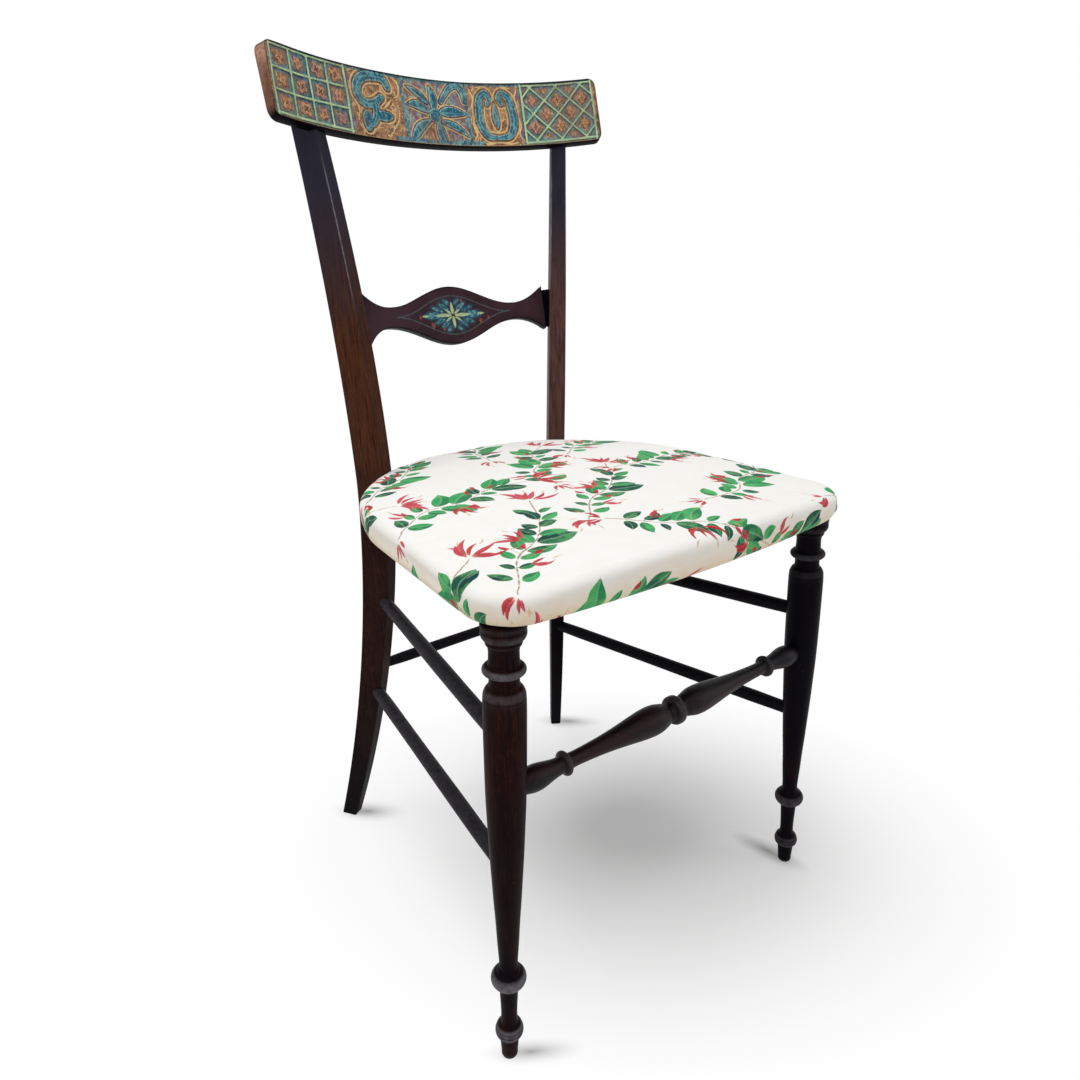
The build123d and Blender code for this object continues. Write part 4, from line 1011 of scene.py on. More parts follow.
def shape_field(x, y, parts, held, reach=16.0):
    """Keeps what is known of the nearest leaf-like part: distance, tone and the place across and along it.

    held has those four rows; a part is its base, tip, half width, bow and tone.
    """
    for base, tip, width, bow, tone in parts:
        near = inside_box(x, y, np.minimum(base, tip) - reach, np.maximum(base, tip) + reach)
        long = np.linalg.norm(tip - base)
        axis = (tip - base) / long
        px, py = x[near], y[near]
        dx, dy = px - base[0], py - base[1]
        distance = leaf(px, py, base, tip, width, 22, bow, 1.3)
        along = (dx * axis[0] + dy * axis[1]) / long
        across = (dy * axis[0] - dx * axis[1] - bow * long * np.sin(np.pi * np.clip(along, 0, 1))) / width
        made = np.stack([distance, np.full(px.shape, tone), across, along])
        held[:, near] = np.where(distance < held[0, near], made, held[:, near])
    return held


def cloth_print(cloth):
    """Trailing sprays laid over the cloth in a staggered order, as distances and tones at every point."""
    x, y = cloth[..., 0], cloth[..., 1]
    stems = np.full(x.shape, FAR)
    leaves, petals, buds = [np.stack([stems, 0 * x, 0 * x, 0 * x]) for _ in range(3)]
    for column in range(-2, 3):
        for row in range(-2, 4):
            spin, hand = 0.35 + 0.45 * math.sin(2.1 * column + 1.3 * row), -1 if (column + row) % 2 else 1
            dx = x - (124.0 * column + 8)
            dy = y - (SEAT_MIDDLE - 52 + 112.0 * row + (56.0 if column % 2 else 0.0))
            near = np.hypot(dx, dy) < 140
            if not near.any():
                continue
            u = (math.cos(spin) * dx + math.sin(spin) * dy)[near]
            v = hand * (math.cos(spin) * dy - math.sin(spin) * dx)[near]
            paths, *shapes = spray_parts((column * 2 + row) % 3)
            lines = [strokes(u, v, path, np.full(len(path), half)) for path, half in paths]
            stems[near] = nearest(stems[near], *lines)
            for held, parts in zip((leaves, petals, buds), shapes):
                held[:, near] = shape_field(u, v, parts, held[:, near])
    near = np.stack([leaves[0], stems, petals[0], buds[0]], -1)
    side = np.where(petals[0] < 0.3, petals[2], leaves[2])
    tone = np.stack([leaves[1], side / 4 + 0.5, petals[1], petals[3]], -1)
    return {"print_near": as_field(near, 16), "print_tone": np.clip(tone, 0, 1)}


# ------------------------------------------------------------------ surfaces of the other materials
def crest_paint():
    """Carved and painted tablet: colours follow the carved marks on its face, black stain elsewhere."""
    colours = bpy.context.scene.chair_colours
    teal, deep, dark = colours.crest_light_blue, colours.crest_blue, colours.crest_dark
    gold_tone = colours.crest_gold
    finish = Finish("crest_paint")
    place = finish.place()
    ragged = (finish.noise(place, 240.0, 4.0, 0.65) - 0.5) * 0.17
    bars, blue, gold, red = [finish.field("marks", channel) + ragged for channel in range(4)]
    ribs, frames, plum, panel = [finish.field("more", channel) + ragged for channel in range(4)]
    along, up, face, inside = [finish.field("place", channel) for channel in range(4)]
    mottle = finish.noise(place, 85.0, 5.0, 0.7, 0.6)
    dabs = finish.noise(finish.place((1, 1, 0.6), (0, 0.5, 0)), 230.0, 3.0, 0.6, 1.2)
    chips = finish.noise(place, 330.0, 4.0, 0.7)
    grime = finish.noise(place, 22.0, 3.0, 0.6)
    from_middle = (along - 0.5).math("ABSOLUTE")
    cool = from_middle.below(0.0915, 0.003) * grime.above(0.42, 0.12) * 0.65
    ground = finish.layers(
        colours.crest_ground,
        (mottle.above(0.5, 0.10), colours.crest_brown),
        (dabs.above(0.57, 0.05) * 0.8, gold_tone),
        (grime.above(0.56, 0.08) * panel.above(0.5, 0.1) * 0.6, deep),
        (plum.below(0.5, 0.12) * 0.7, colours.crest_plum),
        (cool, finish.mix(dabs.above(0.5, 0.08), colours.crest_plum, teal)),
        (bars.below(0.80, 0.16) * dabs.above(0.40, 0.12) * 0.95,
         finish.mix(mottle.above(0.52, 0.08), deep, teal)),
    )
    petal = finish.layers(
        colours.crest_red,
        (chips.above(0.5, 0.12), gold_tone),
        (mottle.above(0.52, 0.08) * 0.7, colours.crest_ground),
        (grime.above(0.52, 0.08) * mottle.below(0.5, 0.08) * 0.6, colours.crest_plum),
    )
    paint = finish.layers(
        deep,
        ((dabs.above(0.53, 0.06) * 0.75 + ribs.below(0.5, 0.03) * 0.7).limited(), teal),
        (blue.above(0.395, 0.03) * dabs.above(0.40, 0.08) * 0.75, colours.crest_pale_blue),
    )
    stain = finish.mix(mottle.above(0.64, 0.12) * 0.35, colours.ebony, colours.rubbed_brown)
    worn = finish.layers(
        colours.bare_brown,
        (chips.above(0.38, 0.12) * 0.95, colours.crest_end),
        (up.below(0.36, 0.34) * 0.9, colours.bare_brown),
    )
    motifs = finish.layers(
        ground,
        (gold.below(0.54, 0.02) * 0.7, dark),
        (gold.below(0.5, 0.03) * (0.45 + dabs * 0.9).limited(), gold_tone),
        (red.line(0.53, 14.0) * 0.8, dark),
        (red.below(0.5, 0.03), petal),
        (red.below(0.10, 0.08), dark),
        (blue.line(0.56, 12.0) * 0.85, dark),
        (blue.below(0.5, 0.025), paint),
        (frames.below(0.5, 0.04) * 0.85, finish.mix(dabs.above(0.5, 0.1), deep, teal)),
        (bars.line(0.54, 12.0) * 0.75, dark),
        (bars.below(0.48, 0.03),
         finish.mix(mottle.above(0.52, 0.14), colours.crest_lines, colours.crest_green)),
        (chips.above(0.62, 0.04) * 0.75, dark),
        ((grime.below(0.44, 0.1) * 0.35).limited(), colours.crest_brown),
    )
    low_line = up.below(0.028, 0.006) * up.above(0.008, 0.004) * face
    colour = finish.layers(
        finish.mix(from_middle.above(0.4655, 0.0035), stain, worn),
        ((face * inside).limited(), motifs),
        (low_line * chips.above(0.4, 0.1) * 0.3, gold_tone),
    )
    scratches = finish.noise(finish.place((0.08, 1, 1)), 900.0, 3.0)
    relief = (chips * 0.6 + dabs * 0.5 + scratches * 0.4, 0.5, 0.0006)
    return finish.principled(colour, 0.42 + chips * 0.25, relief, Specular_IOR_Level=0.03)


def mid_paint():
    """Ebonised slat with a fine painted line, a yellow cross, blue leaves and red spots in its middle."""
    colours = bpy.context.scene.chair_colours
    finish = Finish("mid_paint")
    place = finish.place()
    ragged = (finish.noise(place, 420.0, 3.0, 0.6) - 0.5) * 0.10
    line, cross, leaves, reds = [finish.field("marks", channel) + ragged for channel in range(4)]
    face, edge = finish.field("place", 2), finish.field("place", 3)
    grain = finish.noise(finish.place((0.06, 1, 1)), 420.0, 5.0, 0.65, 0.4)
    chips = finish.noise(place, 380.0, 4.0, 0.7)
    patch = finish.noise(place, 14.0, 4.0, 0.6)
    dabs = finish.noise(place, 300.0, 3.0, 0.6)
    colour = finish.layers(
        colours.ebony,
        ((patch.above(0.42, 0.16) * (0.4 + grain)).limited(), colours.rubbed_brown),
        (patch.above(0.44, 0.14) * 0.85, colours.plum_glaze),
        ((edge * 0.8).limited(), colours.ebony),
        (line.below(0.5, 0.02) * chips.below(0.60, 0.08) * 0.8 * face,
         finish.mix(chips.above(0.5, 0.14), colours.line_teal, colours.line_grey)),
        (reds.below(0.5, 0.04) * 0.45 * face, colours.crest_red),
        (leaves.below(0.72, 0.16) * dabs.above(0.42, 0.1) * face * 0.6, colours.crest_blue),
        (leaves.below(0.5, 0.03) * 0.85 * face,
         finish.mix(dabs.above(0.52, 0.07), colours.crest_blue, colours.crest_light_blue)),
        (cross.below(0.5, 0.03) * 0.9 * face,
         finish.mix(chips.above(0.52, 0.1), colours.crest_lines, colours.crest_green)),
    )
    relief = (grain * 0.5 + chips * 0.35 + cross.below(0.5, 0.04) * face * 0.6, 0.25, 0.0004)
    return finish.principled(colour, 0.30 + grain * 0.2 + chips * 0.1, relief, Specular_IOR_Level=0.07)


def printed_cotton():
    """Plain-woven cream cotton printed with leaves, stems and red trumpet flowers."""
    colours = bpy.context.scene.chair_colours
    finish = Finish("printed_cotton")
    place = finish.place()
    uv = finish.node("ShaderNodeUVMap", {"uv_map": "cloth"})
    drawn_out = finish.node("ShaderNodeMapping", {}, {"Vector": uv, "Scale": (1, 0.1, 1)})
    slub = finish.noise(drawn_out, 900.0, 2.0)
    wash = finish.noise(place, 60.0, 4.0, 0.6)
    ragged = (finish.noise(place, 520.0, 3.0, 0.6) - 0.5) * 0.05
    leaf_near, stem_near, petal_near, bud_near = [finish.field("print_near", k) + ragged for k in range(4)]
    leaf_tone, side, petal_tone, petal_along = [finish.field("print_tone", k) for k in range(4)]
    green = finish.layers(
        colours.leaf_light,
        ((leaf_tone.above(0.55, 0.12) * 0.9 + side.above(0.5, 0.03) * 0.45).limited(), colours.leaf_dark),
        (wash.above(0.55, 0.08) * 0.5, colours.leaf_bright),
        (side.line(0.5, 26.0) * 0.6, colours.leaf_vein),
    )
    red = finish.layers(
        colours.flower,
        (petal_tone.above(0.66, 0.12) * 0.6, colours.flower_pink),
        (side.above(0.5, 0.06) * 0.5, darker(colours.flower, 0.45)),
        (petal_along.above(0.9, 0.08) * 0.5, colours.flower_pink),
        (petal_along.below(0.14, 0.1) * 0.4, colours.flower_tip),
        (wash.above(0.58, 0.05) * 0.35, colours.flower_pink),
    )
    # Painted shade with some yellowing: the pad's sides and lower edges go towards the tan cloth_shade
    # colour.
    mottle_and_side_shade = (wash.above(0.5, 0.2) * 0.10 + finish.field("side_shade_and_yellowing") * (0.55 + wash * 0.50)).limited()
    colour = finish.layers(
        colours.cloth_ground,
        (mottle_and_side_shade, colours.cloth_shade),
        (stem_near.below(0.52, 0.03) * wash.above(0.5, 0.1) * 0.25, colours.cloth_stem),
        (stem_near.below(0.5, 0.012) * 0.85, colours.cloth_stem),
        (leaf_near.below(0.5, 0.015), green),
        (petal_near.below(0.5, 0.015) * 0.95, red),
        (bud_near.below(0.5, 0.02) * 0.8, colours.flower_tip),
    )
    relief = (finish.weave(0.0011, uv) * 0.5 + slub * 0.8, 0.22, 0.0003)
    sheen = {"Sheen_Weight": 0.06, "Sheen_Roughness": 0.5}
    return finish.principled(colour, 0.78 + slub * 0.12, relief, Specular_IOR_Level=0.12, **sheen)


def dark_cloth():
    """Thin black cotton, faded in patches."""
    finish = Finish("dark_cloth")
    weave = finish.weave(0.0012, finish.node("ShaderNodeUVMap", {"uv_map": "cloth"}))
    dust = finish.noise(finish.place(), 35.0, 4.0, 0.6)
    colour = finish.mix(dust.above(0.5, 0.2) * 0.5, (0.012, 0.012, 0.013), (0.045, 0.042, 0.040))
    return finish.principled(colour, 0.82 + dust * 0.1, (weave, 0.3, 0.0003))


def woven(name, light, dark, pitch):
    """Coarse woven strip or sheet: two crossed sets of threads with slubs."""
    finish = Finish(name)
    threads = finish.weave(pitch) * 0.5 + 0.5
    slub = finish.noise(finish.place((1, 0.15, 1)), 700.0, 3.0)
    colour = finish.mix((threads * 0.6 + slub * 0.5).limited(), dark, light)
    return finish.principled(colour, 0.8 + slub * 0.12, (threads, 0.5, 0.0008))


def plain_timber(name, light, dark):
    """Unfinished sawn timber with fine flecked grain."""
    finish = Finish(name)
    grain = finish.noise(finish.place((0.07, 1, 1)), 300.0, 5.0, 0.65, 0.8)
    fleck = finish.noise(finish.place((0.2, 1, 1)), 1200.0, 2.0)
    colour = finish.layers(light, (grain.above(0.5, 0.25), dark), (fleck.above(0.62, 0.05) * 0.4, dark))
    return finish.principled(colour, 0.6 + grain * 0.2, (grain + fleck * 0.4, 0.25, 0.0005))


def tack_metal():
    """Blued steel tacks, a little rusted."""
    finish = Finish("tack_metal")
    rust = finish.noise(finish.place(), 900.0, 4.0, 0.7)
    colour = finish.mix(rust.above(0.5, 0.1), (0.08, 0.08, 0.09), (0.16, 0.07, 0.03))
    metallic = (0.9 - rust * 0.3).limited()
    return finish.principled(colour, 0.35 + rust * 0.35, (rust, 0.3, 0.0002), Metallic=metallic)


# Half the floor's side and the middle of its shadowed part; then each foot's place, the direction of the
# contact shadow painted beside it in degrees, and that painted shadow's half length and half width.
FLOOR_HALF, SHADOW_MIDDLE = 12.0, (0.095, -0.037)
FEET = (
    ((-0.192, -0.182), -34.0, 0.052, 0.014), ((0.192, -0.182), 102.0, 0.055, 0.017),
    ((-0.163, 0.211), -44.0, 0.055, 0.022), ((0.163, 0.211), -44.0, 0.055, 0.020),
)


def pale_floor():
    """White floor: matt and shadowed round the chair, with painted contact shadows at its feet, fading into
    the white surround.
    """
    stage = bpy.context.scene.chair_stage
    finish = Finish("pale_floor")
    east, north, _ = finish.axes()

    def oval(middle, turn, long, wide, ahead=0.0):
        """Distance from a middle, 1 on the oval's rim, the middle moved ahead along its length."""
        x, y = east - middle[0], north - middle[1]
        cosine, sine = math.cos(turn), math.sin(turn)
        along, across = (x * cosine + y * sine - ahead) / long, (y * cosine - x * sine) / wide
        return (along * along + across * across) ** 0.5

    # Painted shadow: a soft dark oval beside each foot darkens the floor's colour and holds back the white
    # glow there.
    painted_contact_shadow, *others = [
        (1 - oval(foot, math.radians(turn), long, wide, 0.36 * long)).limited()
        for foot, turn, long, wide in FEET
    ]
    for spot in others:
        painted_contact_shadow = painted_contact_shadow.math("MAXIMUM", spot)
    painted_contact_shadow = painted_contact_shadow**1.3 * 0.72
    radius = oval(SHADOW_MIDDLE, stage.fade_turn, stage.fade_stretch, 1.0)
    far = radius.above(0.56 * stage.fade_radius, 0.44 * stage.fade_radius)
    dust = finish.noise(finish.place(), 3.0, 2.0)
    tone = finish.mix(dust, stage.floor_tone, darker(stage.floor_tone, 0.995))
    shaded = finish.mix(painted_contact_shadow, tone, (0.08, 0.08, 0.08))
    finish.principled(shaded, 0.9 + dust * 0.05, Specular_IOR_Level=0.0)
    glow = finish.node("ShaderNodeEmission", {}, {"Color": (1.0, 1.0, 1.0), "Strength": 1.0})
    shader = Wire(finish, finish.surface.outputs[0])
    mixed = finish.blend(far * (1 - painted_contact_shadow) * finish.seen(), shader, glow)
    finish.set(finish.tree.nodes["Material Output"].inputs["Surface"], mixed)
    return finish.material


# ------------------------------------------------------------------ settings a user would change
def setting(name, words, default, **more):
    """A number, or a row of numbers, that a user would change."""
    more |= {"name": name, "description": words, "default": default}
    if isinstance(default, tuple):
        return bpy.props.FloatVectorProperty(size=len(default), **more)
    return bpy.props.FloatProperty(**more)


def length_setting(name, words, default):
    return setting(name, words, default, unit="LENGTH")


def angle_setting(name, words, degrees):
    return setting(name, words, math.radians(degrees), subtype="ANGLE")


def colour_setting(key, words, default):
    name = key.replace("_", " ").capitalize()
    return setting(name, words, default, subtype="COLOR", min=0.0, max=1.0)


class ChairSizes(bpy.types.PropertyGroup):
    """Sizes of the dressed pieces."""

    foot_half_spacing: length_setting("Foot spacing", "Middle of a front foot from the centre plane", 0.1924)
    leg_splay: angle_setting("Leg splay", "Outward lean of the front legs", 1.82)
    rod_radius: length_setting("Rod radius", "Radius of the plain side stretchers", 0.0071)
    rear_rod_radius: length_setting("Rear rod radius", "Radius of the rear stretcher", 0.0062)
    swell_cap: length_setting("Pad swell", "Furthest the stuffed cover may move when it settles", 0.003)
    tack_spacing: length_setting("Tack spacing", "Distance between the tacks under the seat", 0.032)


COLOURS = {
    "ebony": ("Black stain", (0.0028, 0.002, 0.004)),
    # Painted reflection: the bluish sheen on the upper posts.
    "blue_black": ("Stain where it lies thickest", (0.027, 0.0265, 0.042)),
    "rubbed_brown": ("Wood where the stain is thin", (0.02, 0.0048, 0.0036)),
    "warm_brown": ("Rubbed post above the seat", (0.085, 0.028, 0.014)),
    "rosy_brown": ("Rubbed right post above the seat", (0.115, 0.056, 0.052)),
    "bare_brown": ("Streaks and nicks of bare wood", (0.11, 0.042, 0.022)),
    # Pale colour of worn beads and arrises, also standing in for painted highlights on them.
    "worn_edge": ("Rubbed beads and arrises", (0.275, 0.258, 0.285)),
    "crest_ground": ("Main ground of the tablet", (0.43, 0.22, 0.115)),
    "crest_brown": ("Dark patches of the ground", (0.17, 0.09, 0.065)),
    "crest_gold": ("Ochre outlines", (0.74, 0.5, 0.24)),
    "crest_red": ("Blossoms", (0.44, 0.12, 0.08)),
    "crest_plum": ("Dull purple patches", (0.24, 0.1, 0.17)),
    "crest_lines": ("Pale bars", (0.54, 0.65, 0.35)),
    "crest_green": ("Darker streaks of the bars", (0.25, 0.43, 0.26)),
    "crest_blue": ("Deep blue strokes", (0.024, 0.105, 0.155)),
    "crest_light_blue": ("Highlights of the blue", (0.15, 0.37, 0.39)),
    "crest_pale_blue": ("Edges of the blue forms", (0.29, 0.53, 0.54)),
    "crest_dark": ("Dark outlines", (0.042, 0.034, 0.03)),
    "crest_end": ("Worn end grain", (0.48, 0.27, 0.19)),
    "plum_glaze": ("Reddish patches of the mid rail", (0.052, 0.024, 0.033)),
    "line_teal": ("Dull line round the mid rail's ornament", (0.045, 0.095, 0.11)),
    "line_grey": ("Rubbed stretches of that line", (0.1, 0.11, 0.105)),
    "cloth_ground": ("Unprinted cotton", (0.845, 0.84, 0.82)),
    # Tan of the pad's sides: painted shade with some yellowing.
    "cloth_shade": ("Handled and yellowed cotton", (0.733, 0.56, 0.335)),
    "cloth_stem": ("Printed stems", (0.33, 0.21, 0.12)),
    "leaf_light": ("Lighter leaves", (0.03, 0.33, 0.1)),
    "leaf_bright": ("Yellow-green touches", (0.14, 0.52, 0.15)),
    "leaf_dark": ("Darker leaves", (0.004, 0.05, 0.042)),
    "leaf_vein": ("Midribs", (0.26, 0.46, 0.26)),
    "flower": ("Crimson petals", (0.52, 0.01, 0.03)),
    "flower_pink": ("Paler petals", (0.68, 0.09, 0.13)),
    "flower_tip": ("Cream and ochre tips", (0.64, 0.4, 0.2)),
}


class ChairColours(bpy.types.PropertyGroup):
    """Colours of the dressed pieces."""

    __annotations__ = {key: colour_setting(key, *row) for key, row in COLOURS.items()}


class ChairStage(bpy.types.PropertyGroup):
    """Camera, floor and lamps."""

    place: length_setting("Camera place", "Camera position", (-0.46300, -0.61495, 0.66870))
    yaw: angle_setting("Yaw", "Turn to the right", 36.79)
    pitch: angle_setting("Pitch", "Downward tilt", 20.24)
    roll: angle_setting("Roll", "Roll", -1.30)
    lens: setting("Lens", "Focal length in millimetres", 26.743)
    shift: setting("Shift", "Lens shift", (-0.0062, 0.0012))
    fade_radius: length_setting("Fade radius", "Where the floor has faded into the surround", 0.322)
    fade_stretch: setting("Fade stretch", "How much longer than wide the shadowed floor is", 1.42)
    fade_turn: angle_setting("Fade turn", "Direction of the shadowed floor's length", -44.5)
    floor_tone: colour_setting("floor_tone", "Floor round the chair", (0.96, 0.96, 0.96))
    key_power: setting("Key", "Main lamp, in watts", 12.0)
    top_power: setting("Top", "Overhead lamp, in watts", 26.0)
    fill_power: setting("Fill", "Fill lamp, in watts", 8.0)
    ambient: setting("Ambient", "Strength of the surround", 0.5)


# ------------------------------------------------------------------ operators
class CHAIR_OT_turned(bpy.types.Operator):
    """Builds the two turned front legs and the turned front stretcher"""

    bl_idname = "chair.turned"
    bl_label = "Turned legs and stretcher"

    def execute(self, context):
        distance, radius = turned_outline(LEG_TURNING).T
        for name, side in SIDES.items():
            ends = leg_axis(0.0, side), leg_axis(SEAT_UNDERSIDE, side)
            rings = turned_rings(*ends, distance, radius, 72)
            rings[..., 2] = np.clip(rings[..., 2], 0, SEAT_UNDERSIDE)
            share = np.where(distance < ANKLE_WEAR_TOP, 0.65, 0.36) * (0.4 if side > 0 else 1.0)
            leg = ringed_piece(f"turned_leg_{name}", rings, share * proud_wear_and_highlight(distance, radius))
            material = ebonised(f"ebonised_leg_{name}", 2, 0.32 if side > 0 else 0.5, side)
            finish_piece(leg, material, "ebonised_wood", f"front_leg_{name}")
        outline = turned_outline(FRONT_TURNING)
        distance, radius = np.concatenate([outline[:0:-1] * [-1, 1], outline]).T
        height = FRONT_STRETCHER_HEIGHT
        rings = turned_rings((0, 0, height), (1, 0, height), distance, radius, 64)
        rod = ringed_piece("turned_stretcher", rings, 0.10 * proud_wear_and_highlight(distance, radius))
        material = ebonised("ebonised_stretcher", 0, 0.45, 3, gloss=0.14)
        finish_piece(rod, material, "ebonised_wood", "front_stretcher")
        return {"FINISHED"}


def rod_rings(start, end, radius, end_radius, lap):
    """Plain rod, a little thinner and rounded at its ends, with a trace of unevenness along it."""
    length = np.linalg.norm(np.asarray(end) - start)
    end_steps = np.array([0, 0.4, 1.2, 2.4])
    t = np.concatenate([end_steps, np.linspace(4, length - 4, 120), length - end_steps[::-1]])
    near_end = np.minimum(t, length - t)
    r = end_radius + (radius - end_radius) * ease(near_end, 8.0, 48.0)
    r = r - 1.2 * (1 - ease(near_end, -0.5, 2.4)) + 0.12 * np.sin(t / 31.0 + lap)
    return turned_rings(start, end, t, r, 40)


class CHAIR_OT_rods(bpy.types.Operator):
    """Builds the four side stretchers and the rear stretcher"""

    bl_idname = "chair.rods"
    bl_label = "Plain stretchers"

    def execute(self, context):
        sizes = context.scene.chair_sizes
        radius, rear = 1000 * sizes.rod_radius, 1000 * sizes.rear_rod_radius
        for level, front_z, back_z in SIDE_RODS:
            entry = post_place(post_blend(back_z, *POST_WIDTH) / 2 - ROD_ENTRY_INSET, 0.0, back_z)
            start = leg_axis(front_z)
            axis = (entry - start) / np.linalg.norm(entry - start)
            start, end = start + ROD_START_IN * axis, entry + ROD_END_IN * axis
            rings = rod_rings(start, end, radius, radius - ROD_TAPER, front_z)
            for name, side in SIDES.items():
                # Pale wear and painted highlight on the rods, more on the left ones.
                wear_and_highlight = 0.02 if side > 0 else 0.09
                rod = ringed_piece(f"side_rod_{level}_{name}", rings * [side, 1, 1], wear_and_highlight, side < 0)
                material = ebonised(f"ebonised_rod_{level}_{name}", 1, 0.16, 2 * side + front_z / 100)
                finish_piece(rod, material, "ebonised_wood", f"side_stretcher_{level}_{name}")
        z = REAR_ROD_HEIGHT
        mouth = post_place(-post_blend(z, *POST_WIDTH) / 2, post_blend(z, *POST_DEPTH) / 2, z)
        end = mouth + [REAR_ROD_TENON, 0, 0]
        rings = rod_rings(end * [-1, 1, 1], end, rear, rear - REAR_ROD_TAPER, 0.0)
        rod = ringed_piece("rear_rod", rings, 0.03)
        finish_piece(rod, ebonised("ebonised_rod_rear", 0, 0.16, 1.5), "ebonised_wood", "rear_stretcher")
        return {"FINISHED"}


class CHAIR_OT_posts(bpy.types.Operator):
    """Builds the two sabre back posts"""

    bl_idname = "chair.posts"
    bl_label = "Back posts"

    def execute(self, context):
        colours = context.scene.chair_colours
        rubbed = {
            "right": ((0.36, 0.64, 0.0), colours.rosy_brown),
            "left": ((0.40, 0.655, 0.85), colours.warm_brown),
        }
        for name, side in SIDES.items():
            rings, wear_and_highlight = post_rings(side)
            post = ringed_piece(f"sabre_post_{name}", rings, wear_and_highlight, side < 0)
            material = ebonised(f"ebonised_post_{name}", 2, 0.42, 0.7 * side, *rubbed[name])
            finish_piece(post, material, "ebonised_wood", f"back_post_{name}")
        return {"FINISHED"}


class CHAIR_OT_back_boards(bpy.types.Operator):
    """Builds the carved and painted crest tablet and the painted mid rail"""

    bl_idname = "chair.back_boards"
    bl_label = "Crest and mid rail"

    def execute(self, context):
        points, fields = crest_arrays()
        crest = ringed_piece("crest_tablet", points, **fields)
        finish_piece(crest, crest_paint(), "painted_crest", "crest_rail")
        points, fields = mid_arrays()
        finish_piece(ringed_piece("mid_slat", points, **fields), mid_paint(), "ebonised_wood", "mid_rail")
        for name, side in SIDES.items():
            tongue = ringed_piece(f"mid_tongue_{name}", tongue_rings(side), flip=side < 0)
            finish_piece(tongue, ebonised("ebonised_" + tongue.name, 0, 0.4, 1.0), "ebonised_wood")
        return {"FINISHED"}


class CHAIR_OT_seat(bpy.types.Operator):
    """Builds the stuffed seat in its printed cover"""

    bl_idname = "chair.seat"
    bl_label = "Upholstered seat"

    def execute(self, context):
        coarse, fine = 72, 430
        points, past, cloth = pad_surface(fine)
        moved = settle(pad_surface(coarse, 1.0)[0], 1000 * context.scene.chair_sizes.swell_cap)
        points = points + finer(moved, fine) * (1 - ease(past, 0.5, 0.8))[..., None] * 0.6
        fields = cloth_print(cloth)
        # Painted shade with some yellowing on the sides of the pad, past its rim.
        fields["side_shade_and_yellowing"] = ease(past, 0.05, 0.75)
        pad = closed_pad("stuffed_seat", points, fields, cloth)
        finish_piece(pad, printed_cotton(), "printed_cotton", "seat_cover", "seat_stuffing")
        return {"FINISHED"}


class CHAIR_OT_underside(bpy.types.Operator):
    """Builds the dust cloth under the seat and its tacks"""

    bl_idname = "chair.underside"
    bl_label = "Underside"

    def execute(self, context):
        count, thick = 90, 0.6
        place, radius = plan_disc(count, DUST_INSET)
        sag = 2.4 * (1 - radius**2) + 0.35 * wobble(place[..., 0] / 30, place[..., 1] / 30, 31) * (1 - radius)
        upper = np.concatenate([place, (SEAT_BOTTOM - sag)[..., None]], -1).reshape(-1, 3)
        index = np.arange(count * count).reshape(count, count)
        loop = np.concatenate([index[0, :-1], index[:-1, -1], index[-1, :0:-1], index[:0:-1, 0]])
        after = np.roll(loop, -1)
        wall = np.stack([after, loop, loop + count * count, after + count * count], -1)
        quads = np.concatenate([square_faces(count), square_faces(count, True) + count * count, wall])
        points = to_metres(np.concatenate([upper, upper - [0, 0, thick]]))
        sheet = make_piece("dust_sheet", points, quads, uv=np.tile(place.reshape(-1, 2), (2, 1)) / 1000)
        finish_piece(sheet, dark_cloth(), "dust_cloth", "dust_cloth")
        tacks = tack_heads(1000 * context.scene.chair_sizes.tack_spacing, DUST_INSET + 5.0)
        finish_piece(tacks, tack_metal(), "dust_cloth")
        return {"FINISHED"}


def tack_heads(spacing, inset):
    """Low domes in a row round the underside: a ring of small circles of shrinking radius for each."""
    around = seat_plan(np.linspace(0, 1, 400, endpoint=False))[0]
    length = np.linalg.norm(np.roll(around, -1, 0) - around, axis=1).sum()
    many, columns = int(length / spacing), 14
    rim, out = seat_plan((np.arange(many) + 0.5) / many)
    angle = np.linspace(0, 2 * np.pi, columns, endpoint=False)
    circle = np.stack([np.cos(angle), -np.sin(angle), 0 * angle], -1)
    dome = [(3.4, 0.0), (3.3, 0.5), (2.5, 1.2), (1.3, 1.6)]
    rings = [radius * circle - [0, 0, drop] for radius, drop in dome]
    tack = np.concatenate(rings + [[[0, 0, 0], [0, 0, -1.7]]])
    places = np.concatenate([rim - inset * out, np.full((many, 1), SEAT_BOTTOM - 0.9)], 1)
    quads, fans = ring_faces(len(dome), columns)
    step = len(tack) * np.arange(many)[:, None, None]
    points = to_metres((places[:, None] + tack).reshape(-1, 3))
    return make_piece("cloth_tacks", points, (quads + step).reshape(-1, 4), (fans + step).reshape(-1, 3))


class CHAIR_OT_hidden_frame(bpy.types.Operator):
    """Gives the seat frame, its dowels, the webbing and the hessian their materials"""

    bl_idname = "chair.hidden_frame"
    bl_label = "Seat frame materials"

    def execute(self, context):
        rails = [f"seat_rail_{place}" for place in ("front", "rear", "side_left", "side_right")]
        blocks = [f"corner_block_{name}" for name in SIDES]
        beech = plain_timber("frame_beech", (0.420, 0.270, 0.150), (0.300, 0.170, 0.085))
        jute = woven("jute_webbing", (0.420, 0.300, 0.160), (0.200, 0.130, 0.065), 0.0026)
        hessian = woven("hessian", (0.400, 0.290, 0.160), (0.170, 0.110, 0.055), 0.0018)
        for material, names in (
            (beech, rails + blocks + ["frame_dowels"]), (jute, ["webbing_lengthwise", "webbing_crosswise"]),
            (hessian, ["seat_hessian"]),
        ):
            for name in names:
                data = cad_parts[name].data
                data.materials.clear()
                data.materials.append(material)
        return {"FINISHED"}


